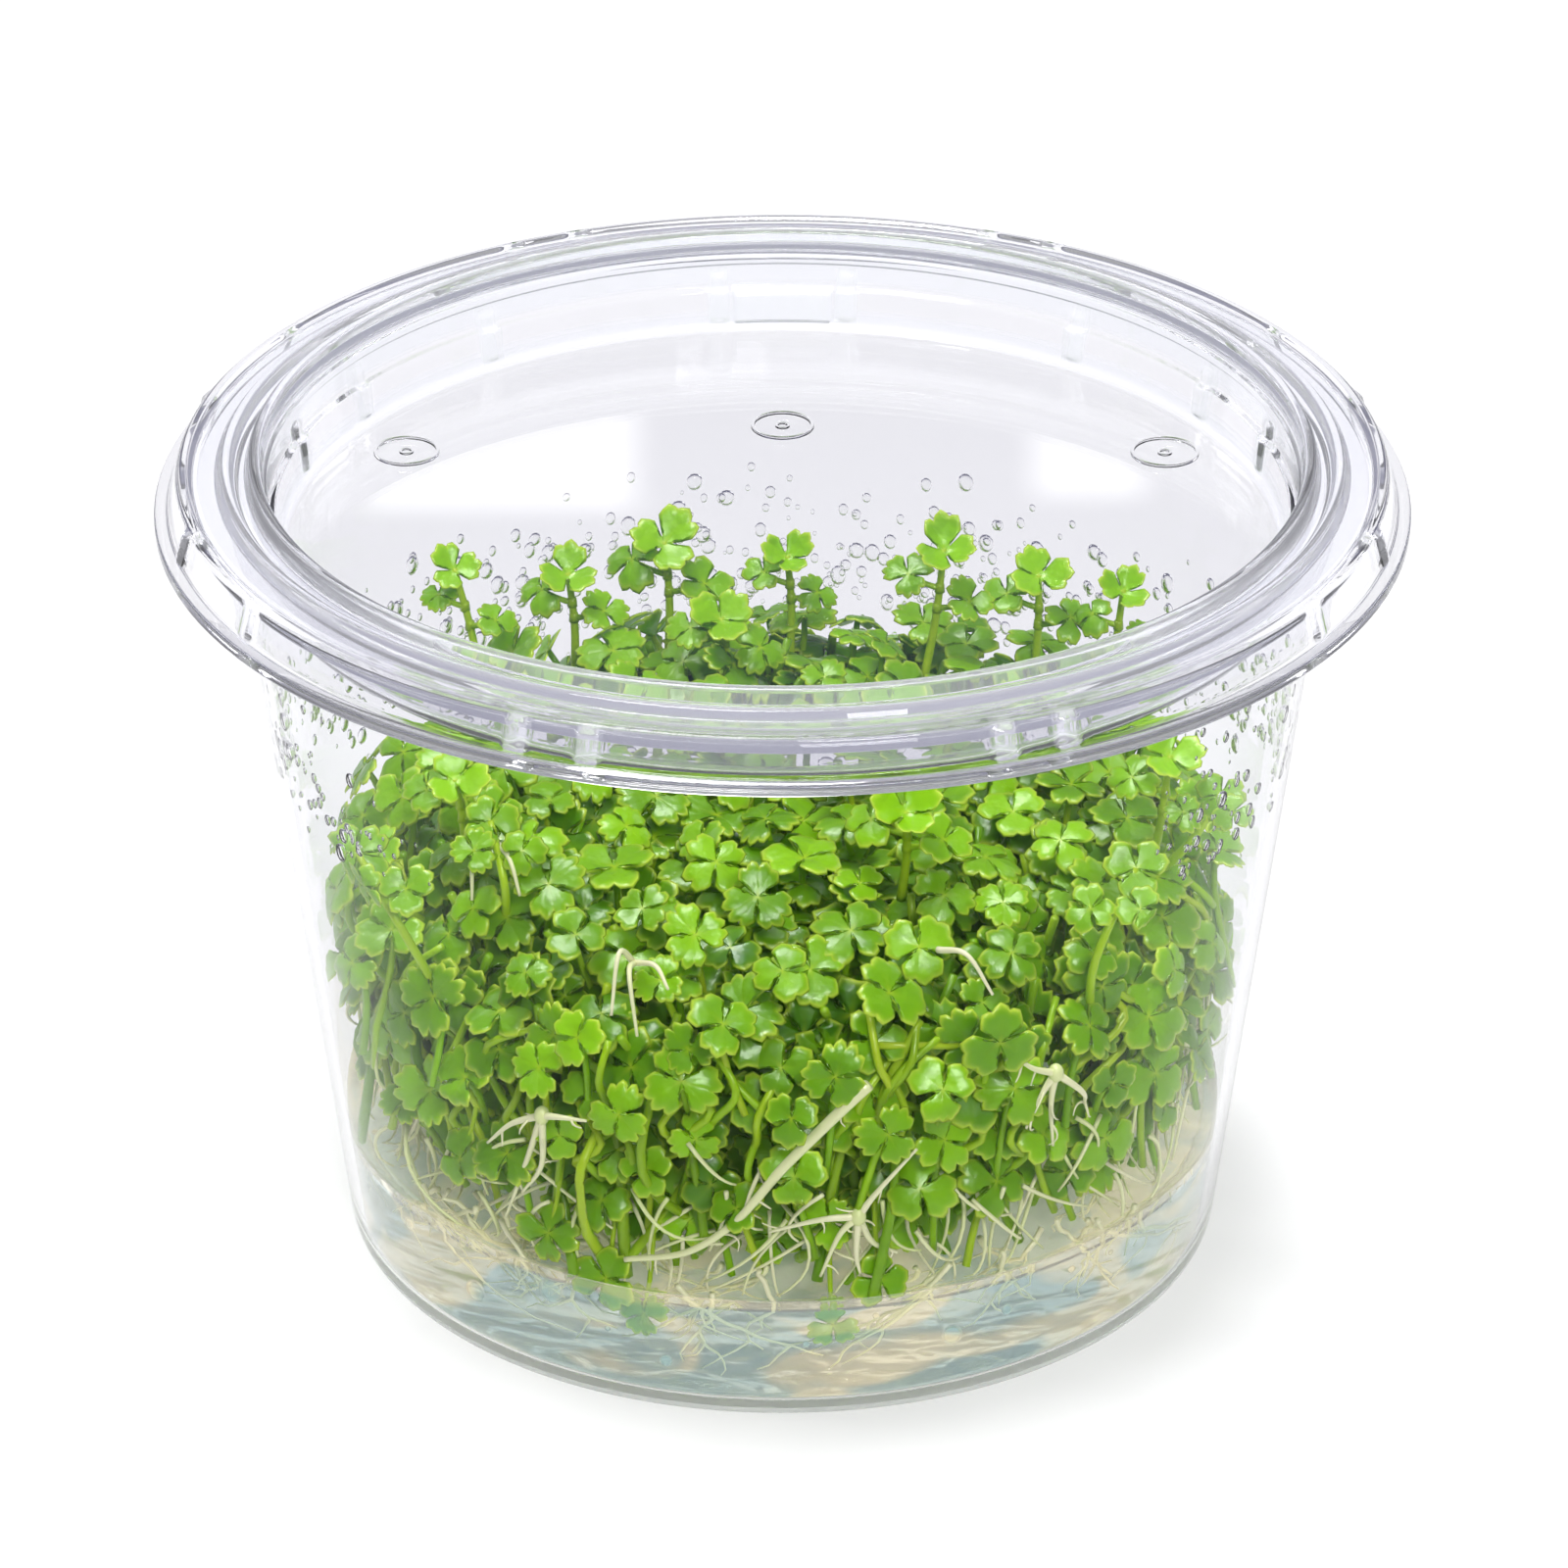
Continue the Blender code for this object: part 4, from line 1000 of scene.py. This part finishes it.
# %% Creeping stems
STEM_RADIUS = 0.45 * MM
CREEPERS = 210
CLIMBERS = 130
rng = np.random.default_rng(5)
stems = Bunch()
for index in range(CREEPERS):
    share = 0.25 + 0.72 * (index + 0.5) / CREEPERS
    top, out = mat_surface(GOLDEN_TURN * index, share)
    top = top - out * rng.uniform(1.5, 4.0) * MM
    inward = (rng.uniform(0.6, 0.98), rng.uniform(0.6, 0.98), 0.0)
    foot = top * inward + rng.normal(size=3) * (4.0 * MM, 4.0 * MM, 0.0)
    foot[2] = GEL_TOP + 0.3 * MM
    middle = (foot + top) / 2 + rng.normal(size=3) * 3.2 * MM
    route = smooth_route([foot, middle, top], 6)
    mark = (rng.uniform(0.2, 0.8), 0.0, rng.uniform(0.3, 0.95))
    stems.tube(route, STEM_RADIUS * rng.uniform(0.9, 1.2), 0.8 * STEM_RADIUS, 6, mark)
for index in range(CLIMBERS):
    start_share = rng.uniform(0.02, 0.36)
    turn = GOLDEN_TURN * index + rng.uniform(-4.0, 4.0)
    climb = [mat_surface(turn + rng.normal() * 3.5, start_share + step) for step in (0.0, 0.08, 0.16, 0.24)]
    depths = (3.0, rng.uniform(0.2, 1.6), rng.uniform(-0.3, 0.9), rng.uniform(1.5, 3.0))
    route = smooth_route([point - out * depth * MM for (point, out), depth in zip(climb, depths)], 4)
    mark = (rng.uniform(0.6, 1.0), 0.0, rng.uniform(0.75, 1.0))
    stems.tube(route, 0.85 * STEM_RADIUS, 0.7 * STEM_RADIUS, 6, mark)
stems.piece("creeping_stems", leaf_skin, "leaf_green")

# %% [markdown]
# Eleven shoots stand clear of the mat. Each has a stem with two joints, a smaller leaf on a short stalk
# at each joint, and a young, still folded leaf at its tip. Their feet and tips are those of the plain
# solids, so each fine shoot stands exactly where its solid stands.

# %% Tall shoots
STEM_SINK = 4.0 * MM
TIP_FACING = np.array([0.1, -0.55, 0.8])
# Each shoot's name, foot, tip and the reach of its tip leaf, in millimetres
SHOOTS = (
    ("shoot_back_left_tall", (-9.6, 25.0), (-9.9, 26.5, 48.0), 3.4),
    ("shoot_back_right_tall", (11.6, 18.4), (13.4, 20.7, 50.0), 3.0),
    ("shoot_far_left", (-25.0, 20.2), (-27.4, 23.6, 46.5), 2.5),
    ("shoot_left_of_middle", (-17.4, 22.0), (-17.9, 23.2, 46.5), 2.9),
    ("shoot_back_middle", (0.6, 25.0), (0.4, 26.0, 46.5), 2.5),
    ("shoot_back_right", (20.8, 20.0), (21.3, 20.9, 47.5), 3.0),
    ("shoot_far_right", (26.4, 17.6), (28.3, 19.6, 46.5), 2.5),
    ("shoot_right_front", (29.2, -11.0), (30.6, -13.0, 49.0), 3.0),
    ("shoot_left_front", (-25.4, -10.6), (-26.0, -12.3, 46.5), 3.0),
    ("shoot_front_middle", (9.4, -17.0), (9.7, -19.4, 47.5), 3.2),
    ("shoot_middle", (-4.6, 14.4), (-5.1, 16.1, 46.0), 3.2),
)


def grow_shoot(foot, tip, leaf_reach, rng):
    """One shoot as a bunch: a stem, a young leaf at its tip, and two joints with a leaf each."""
    shoot = Bunch()
    foot = np.array([*foot, 0.0]) * MM
    foot[2] = mat_height(math.hypot(foot[0], foot[1])) - STEM_SINK
    reach = leaf_reach * MM
    tip = np.array(tip) * MM - 0.5 * leaf_reach * UP
    middle = (foot + tip) / 2 + np.array([0.25, 0.35, 0.0]) * MM
    route = smooth_route([foot, middle, tip], 7)
    # Stem and tip leaf take youth 1.1, the brightest green: partly their own young colour, partly painted
    # light shining through them
    shoot.tube(route, 0.9 * STEM_RADIUS, 0.62 * STEM_RADIUS, 10, (1.1, 0.0, 0.95))
    shoot.leaf(pick(young_leaves, rng), tip - 0.2 * UP, TIP_FACING, rng.normal(size=3), 0.92 * reach, 1.1)
    for side, share in ((1.0, 0.74), (-1.0, 0.92)):
        joint = route[int(share * (len(route) - 1)) - 2]
        out = unit(np.array([side, -0.25 * side, 0.35]))
        end = joint + out * 0.95 * reach
        stalk = bent(joint, joint + out * 0.5 * reach - 0.3 * UP, end, 5)
        shoot.tube(stalk, 0.28 * MM, 0.22 * MM, 8, (0.9, 0.0, 0.85))
        facing = np.array([0.25 * side, -0.5, 0.85])
        shoot.leaf(pick(open_leaves, rng), end, facing, out, 0.8 * reach, rng.uniform(0.6, 0.9))
        knot = joint + 0.15 * UP
        shoot.tube([joint - 0.35 * UP, knot, knot + 0.3 * UP], 0.44 * MM, 0.36 * MM, 8, (0.9, 0.0, 0.9))
    return shoot


rng = np.random.default_rng(17)
for name, foot, tip, leaf_reach in SHOOTS:
    grow_shoot(foot, tip, leaf_reach, rng).piece("leafy_" + name, leaf_skin, "shoot_green", [name])

# %% [markdown]
# Pale runners lie against the front wall: long stems that creep sideways, with a joint here and there
# from which roots fan out. Their routes are the routes of the plain solids, given as degrees from the
# front and heights, because they follow the wall. Each root thins to a thread and carries finer threads.

# %% Runner and root crowns
RUNNER_RADIUS = 0.5 * MM
ROOT_RADIUS = 0.32 * MM
WALL_GAP = 1.1 * MM
RUNNER_ROUTE = (
    (10.1, 31.4), (6.0, 28.4), (0.2, 23.8), (-3.2, 20.6), (-6.5, 17.8), (-12.3, 14.8), (-20.4, 13.2),
)
# Each crown's name, its middle and the tips of its roots
ROOT_CROWNS = (
    ("root_crown_middle", (9.4, 18.6), ((-1.6, 17.4), (9.9, 12.9), (16.4, 24.6), (4.8, 12.9), (14.6, 14.6))),
    ("root_crown_left", (-30.4, 25.6), ((-39.4, 20.9), (-37.8, 14.0), (-24.2, 26.2), (-34.6, 17.2))),
    ("root_crown_right", (34.6, 28.8), ((28.4, 31.6), (31.0, 24.2), (39.8, 24.6), (35.4, 21.6))),
)


def by_wall(degrees, height):
    """A point close behind the front wall, from degrees and a height in millimetres."""
    return around(degrees, cup_inner(height * MM) - WALL_GAP, height * MM)


def add_threads(bunch, route, rng, count, length):
    """Fine root hairs that leave a root and hang down from it."""
    for k in range(count):
        start = route[rng.integers(1, len(route) - 1)]
        end = start + unit(rng.normal(size=3) + (0.0, 0.0, -1.1)) * length * rng.uniform(0.6, 1.2)
        pull = (start + end) / 2 + rng.normal(size=3) * 0.3 * length
        bunch.tube(bent(start, pull, end, 5), 0.13 * MM, 0.05 * MM, 5, (rng.uniform(0.0, 0.3), 0.0, 0.0))


rng = np.random.default_rng(29)
runner = Bunch()
runner_line = smooth_route([by_wall(*place) for place in RUNNER_ROUTE], 8)
runner.tube(runner_line, 1.0 * RUNNER_RADIUS, 0.45 * RUNNER_RADIUS, 12, (0.55, 0.0, 0.0))
add_threads(runner, runner_line, rng, 7, 2.2 * MM)
runner.piece("pale_runner", root_skin, "pale_root", ["runner"])
for name, middle, ends in ROOT_CROWNS:
    crown = Bunch()
    centre = by_wall(*middle)
    points, faces = ball(0.7 * MM, 16, 9)
    crown.add(points * (0.9, 0.9, 1.15) + centre, faces, np.tile((0.9, 0.0, 0.0), (len(points), 1)))
    for end in ends:
        tip = by_wall(*end)
        sag = (centre + tip) / 2 + rng.normal(size=3) * (0.5, 0.2, 0.5) * MM
        route = smooth_route([centre, sag, tip], 8)
        crown.tube(route, 1.05 * ROOT_RADIUS, 0.35 * ROOT_RADIUS, 9, (rng.uniform(0.1, 0.5), 0.0, 0.0))
        add_threads(crown, route, rng, 3, 1.8 * MM)
    crown.piece("pale_" + name, root_skin, "pale_root", [name])

# %% [markdown]
# A few stems lean out of the mat beside the wall, left and right, and two arching roots hang over its
# front shoulder. They are thin, so no plain solid stands for them, and they grow from inside the mat.

# %% Leaning stems and arching roots
# Foot, bend and tip of each stem, and the reach of its top leaf, in millimetres
LEANING_STEMS = (
    ((-27.0, -22.0, 31.0), (-29.5, -24.0, 37.5), (-33.2, -20.2, 42.6), 3.1),
    ((-22.0, -18.0, 34.0), (-21.8, -20.5, 39.5), (-23.0, -17.2, 43.8), 2.6),
    ((24.0, -25.0, 31.0), (24.4, -27.8, 37.5), (27.5, -24.2, 43.4), 2.7),
    ((30.2, -12.0, 36.5), (32.4, -15.0, 41.0), (34.6, -14.2, 44.6), 2.2),
)
# Start, highest part and tip of each root, in millimetres
ARCHING_ROOTS = (
    ((-11.5, -30.5, 38.5), (-12.6, -32.8, 40.6), (-13.2, -34.8, 36.2)),
    ((-11.5, -30.5, 38.5), (-9.8, -33.0, 39.6), (-8.8, -34.6, 38.4)),
    ((-11.5, -30.5, 38.5), (-11.8, -34.0, 39.4), (-11.2, -35.6, 34.8)),
    ((12.0, -31.5, 40.2), (14.2, -33.4, 40.8), (16.2, -34.0, 37.6)),
    ((-22.6, -17.6, 42.2), (-24.2, -19.6, 41.8), (-24.4, -21.0, 38.8)),
    ((-22.6, -17.6, 42.2), (-21.4, -20.2, 42.0), (-20.6, -21.4, 39.4)),
)
rng = np.random.default_rng(31)
leaning = Bunch()
for foot, bend, tip, reach in LEANING_STEMS:
    route = smooth_route(np.array([foot, bend, tip]) * MM, 8)
    leaning.tube(route, 0.85 * STEM_RADIUS, 0.7 * STEM_RADIUS, 10, (0.9, 0.0, 0.9))
    facing = np.array([0.0, -0.75, 0.7])
    leaning.leaf(pick(open_leaves, rng), route[-1], facing, rng.normal(size=3), reach * MM, 0.6)
    for side in (-1.0, 1.0):
        joint = route[-5]
        end = joint + np.array([side * 1.9, -0.7, 0.9]) * MM
        stalk = bent(joint, (joint + end) / 2 - 0.3 * UP, end, 5)
        leaning.tube(stalk, 0.3 * MM, 0.25 * MM, 7, (0.7, 0.0, 0.7))
        leaning.leaf(pick(open_leaves, rng), end, facing, rng.normal(size=3), 0.8 * reach * MM, 0.7)
leaning.piece("leaning_stems", leaf_skin, "leaf_green")
arching = Bunch()
for start, over, end in ARCHING_ROOTS:
    route = smooth_route(np.array([start, over, end]) * MM, 8)
    arching.tube(route, 0.28 * MM, 0.12 * MM, 8, (rng.uniform(0.0, 0.5), 0.0, 0.0))
arching.piece("arching_roots", root_skin, "pale_root")

# %% [markdown]
# Fine roots leave the mat's foot, wander through the gel and fork. Each is walked step by step: mostly
# down, a little to the side, and never out of the gel. Shorter ones hang in the gap between the mat's
# foot and the wall. A few leaves have sunk to the gel too.

# %% Roots and leaves in the gel
ROOT_STEP = 0.9 * MM
WALKED_ROOTS = 60
LOW_ROOTS = 120
HIGH_ROOTS = 80
# Roots seen through the front, as degrees from the front and depth behind the wall in millimetres
FRONT_ROOTS = (
    (-13.5, 0.9), (-9.0, 1.0), (21.8, 1.0), (29.1, 1.0), (53.2, 1.2),
    (-3.0, 2.0), (38.0, 1.4), (-26.0, 1.6), (-50.0, 2.0),
)
# Sunk leaves, as degrees from the front, height and reach in millimetres
SUNK_LEAVES = (
    (-23.2, 10.9, 2.9), (-18.0, 8.4, 2.4), (6.4, 8.2, 2.2),
    (12.4, 12.2, 2.6), (-31.0, 14.0, 3.0), (-44.5, 18.0, 2.8),
)


def root_walk(degrees, height, depth, steps, rng):
    """The route of one root near the wall, from degrees round, height and depth behind the wall."""
    route = []
    drift = rng.normal() * 0.8
    for step in range(steps):
        route.append(around(degrees, cup_inner(height) - depth, height))
        drift += rng.normal() * 0.7
        degrees += drift * 0.9
        height -= ROOT_STEP * rng.uniform(0.3, 1.0)
        depth += rng.normal() * 0.35 * MM
        depth = min(max(depth, 0.7 * MM), 9.0 * MM)
        height = max(height, 1.8 * MM)
    return np.array(route)


rng = np.random.default_rng(41)
gel_roots = Bunch()
other_roots = [(degrees, rng.uniform(1.0, 8.0)) for degrees in rng.uniform(0.0, 360.0, WALKED_ROOTS)]
for degrees, depth in [*FRONT_ROOTS, *other_roots]:
    route = root_walk(degrees, rng.uniform(10.5, 13.5) * MM, depth * MM, rng.integers(8, 14), rng)
    mark = (rng.uniform(0.0, 0.35), 0.0, 0.0)
    gel_roots.tube(route, 0.26 * MM, 0.08 * MM, 6, mark)
    for fork in range(rng.integers(1, 4)):
        start = route[rng.integers(2, len(route) - 2)]
        turn = math.degrees(math.atan2(start[0], -start[1]))
        branch = root_walk(turn, start[2], cup_inner(start[2]) - math.hypot(start[0], start[1]), 6, rng)
        gel_roots.tube(branch, 0.15 * MM, 0.05 * MM, 5, mark)
for index in range(LOW_ROOTS):
    degrees = GOLDEN_TURN * index
    start = by_wall(degrees, rng.uniform(12.5, 18.0)) * (0.9, 0.9, 1.0)
    end = by_wall(degrees + rng.normal() * 9.0, rng.uniform(9.0, 11.0)) * (0.97, 0.97, 1.0)
    pull = (start + end) / 2 + rng.normal(size=3) * 1.8 * MM
    gel_roots.tube(bent(start, pull, end, 8), 0.2 * MM, 0.08 * MM, 6, (rng.uniform(0.0, 0.8), 0.0, 0.0))
for index in range(HIGH_ROOTS):
    degrees = GOLDEN_TURN * index + 30.0
    height = rng.uniform(14.0, 25.0)
    start = by_wall(degrees, height) * (0.965, 0.965, 1.0)
    end = by_wall(degrees + rng.normal() * 7.0, height - rng.uniform(3.0, 8.0)) * (0.97, 0.97, 1.0)
    pull = (start + end) / 2 * (1.03, 1.03, 1.0) + rng.normal(size=3) * 1.4 * MM
    gel_roots.tube(bent(start, pull, end, 8), 0.2 * MM, 0.1 * MM, 6, (rng.uniform(0.3, 1.0), 0.0, 0.0))
gel_roots.piece("fine_roots", root_skin, "pale_root")
sunk = Bunch()
for degrees, height, reach in SUNK_LEAVES:
    centre = by_wall(degrees, height)
    facing = around(degrees, 1.0, 0.45)
    sunk.leaf(pick(open_leaves, rng), centre, facing, rng.normal(size=3), reach * MM, rng.uniform(0.4, 0.6))
    pull, top = (centre + around(degrees, *offset) * MM for offset in ((-1.5, 2.5), (-2.0, 6.0)))
    sunk.tube(bent(centre, pull, top, 5), 0.2 * MM, 0.22 * MM, 7, (0.7, 0.0, 0.9))
sunk.piece("sunk_leaves", leaf_skin, "leaf_green")

# %% [markdown]
# The air inside is damp. Drops of water cling to the wall above the plant, and beads of it stand on the
# leaves. A drop is a flattened dome: a small ball squashed against the wall, its back just inside it.
# Drops are scarce in front, where the leaves touch the wall, and reach lower and are larger behind.

# %% Drops on the wall and beads on the leaves
DROPS_ALL_ROUND = 900
DROPS_BEHIND = 150
# Radii in millimetres: those of the two sets start here, and smaller and larger ones are left out or cut
LEAST_ALL_ROUND = 0.16
LEAST_BEHIND = 0.34
SMALLEST_DROP = 0.14
LARGEST_DROP = 0.75
# Lowest, usual and highest height of a drop in millimetres, in front and behind
FRONT_DROP_HEIGHTS = (42.0, 46.0, 59.0)
BACK_DROP_HEIGHTS = (31.5, 36.0, 47.0)
DEW_SHARE = 0.8
rng = np.random.default_rng(43)
drops = Bunch()
for index in range(DROPS_ALL_ROUND + DROPS_BEHIND):
    all_round = index < DROPS_ALL_ROUND
    degrees = rng.uniform(-180.0, 180.0) if all_round else 180.0 + rng.uniform(-48.0, 48.0)
    away = min(abs(degrees), 360.0 - abs(degrees))
    behind = rise(away, 75.0, 120.0)
    height = rng.triangular(*FRONT_DROP_HEIGHTS) * (1.0 - behind) * MM
    height += rng.triangular(*BACK_DROP_HEIGHTS) * behind * MM
    least = LEAST_ALL_ROUND if all_round else LEAST_BEHIND
    radius = min(least + rng.exponential(0.2), LARGEST_DROP) * MM * rise(away, 30.0, 62.0)
    if radius < SMALLEST_DROP * MM:
        continue
    points, faces = ball(radius, 10, 7)
    out = around(degrees, 1.0, 0.0)
    across = around(degrees + 90.0, 1.0, 0.0)
    middle = around(degrees, cup_inner(height) + 0.02 * MM, height)
    tall = (0.0, 0.0, rng.uniform(1.0, 1.3))
    flat = points[:, :1] * across + points[:, 1:2] * out * 0.5 + points[:, 2:] * tall
    drops.parts.append((flat + middle, faces + drops.count, np.zeros_like(flat)))
    drops.count += len(flat)
drops.piece("wall_drops", clear_water)

beads = Bunch()
for place, up in bead_places:
    if rng.random() < 1.0 - DEW_SHARE:
        continue
    radius = rng.uniform(0.08, 0.21) * MM
    points, faces = ball(radius, 8, 6)
    beads.add(points + place + up * 0.5 * radius, faces, np.zeros_like(points))
beads.piece("leaf_dew", clear_water)

# %% [markdown]
# The set is as plain as a product picture's: a white table with a glow of its own, so that it stays white
# to its far end, a large soft lamp above, another in front and a weak one behind on each side. Clear
# plastic has no colour of its own and shows what it bends and mirrors. So the surround is not one white:
# a violet-grey band low down draws the darker lines along the rims, and two bright windows far behind
# are mirrored in the lid's panel.

# %% Floor and light
FLOOR_WHITE = (0.5, 0.5, 0.5, 1.0)
FLOOR_VALUES = {
    "Base Color": FLOOR_WHITE,
    "Roughness": 0.7,
    "Emission Color": (1.0, 1.0, 1.0, 1.0),
    "Emission Strength": 0.48,
}
FLOOR_SIZE = 6.0
FLOOR_PLACE = Vector((0.0, 0.0, -0.02)) * MM
floor_finish = new_finish("floor_white", FLOOR_VALUES)[0]
bpy.ops.mesh.primitive_grid_add(x_subdivisions=2, y_subdivisions=2, size=FLOOR_SIZE, location=FLOOR_PLACE)
floor = bpy.context.object
floor.name = "floor"
floor.data.materials.append(floor_finish)

SKY_WHITE = (0.98, 0.98, 1.0, 1.0)
LOW_FRONT = (0.50, 0.50, 0.76, 1.0)
LOW_BACK = (0.46, 0.46, 0.72, 1.0)
WINDOW_WHITE = (5.0, 5.0, 5.1, 1.0)
# Two windows far behind: left, right, bottom and top, as slopes away from straight back
WINDOWS = ((-0.0595, -0.021, 0.445, 0.487), (0.0357, 0.0512, 0.445, 0.485))
SIDE_BLUR = 0.004
END_BLUR = 0.003
world = bpy.data.worlds.new("studio")
bpy.context.scene.world = world
world.use_nodes = True
nodes = Nodes(world.node_tree)


def within(value, start, end, blur):
    """A signal that is 1 between start and end and falls to 0 over a blur on both sides."""
    beyond = nodes.slide(value, end - blur, end + blur)
    return nodes.slide(value, start - blur, start + blur) * (1.0 - beyond)


to_right, toward_back, upward = nodes.parts(nodes.add("ShaderNodeTexCoord", output="Generated"))
low = nodes.mix(nodes.slide(toward_back, -0.3, 0.3), LOW_FRONT, LOW_BACK)
sky = nodes.mix(nodes.slide(upward, 0.5, 0.85), low, SKY_WHITE)
turn = to_right / toward_back
slope = upward / toward_back
for left, right, bottom, top in WINDOWS:
    window = within(turn, left, right, SIDE_BLUR) * within(slope, bottom, top, END_BLUR)
    sky = nodes.mix(window * nodes.slide(toward_back, 0.0, 0.1), sky, WINDOW_WHITE)
background = world.node_tree.nodes["Background"]
nodes.put(background.inputs["Color"], sky)
background.inputs["Strength"].default_value = 0.32

# Each lamp's name, place, size and power
LAMPS = (
    ("overhead_lamp", (-0.12, 0.06, 0.9), (0.36, 0.3), 6.4),
    ("front_lamp", (0.22, -0.8, 0.75), (0.34, 0.3), 6.4),
    ("left_window", (-0.7, 0.6, 0.5), (0.3, 0.4), 0.9),
    ("right_window", (0.7, 0.6, 0.5), (0.3, 0.4), 0.9),
)
LAMP_AIM = Vector((0.0, 0.0, 0.03))
for name, place, size, power in LAMPS:
    data = bpy.data.lights.new(name, "AREA")
    data.shape = "RECTANGLE"
    data.size, data.size_y = size
    data.energy = power
    lamp = bpy.data.objects.new(name, data)
    lamp.location = place
    lamp.rotation_euler = (LAMP_AIM - Vector(place)).to_track_quat("-Z", "Y").to_euler()
    bpy.context.scene.collection.objects.link(lamp)
print("lamps:", len(LAMPS), "and windows:", len(WINDOWS))

scene = bpy.context.scene
scene.view_settings.view_transform = "Standard"
scene.cycles.max_bounces = 12
scene.cycles.transmission_bounces = 12
scene.cycles.transparent_max_bounces = 32
scene.cycles.diffuse_bounces = 2
scene.cycles.caustics_refractive = False
scene.cycles.caustics_reflective = False
# Floor and surround are found well enough by stray rays, and aiming rays at them takes a fifth longer
floor_finish.cycles.emission_sampling = "NONE"
world.cycles.sampling_method = "NONE"
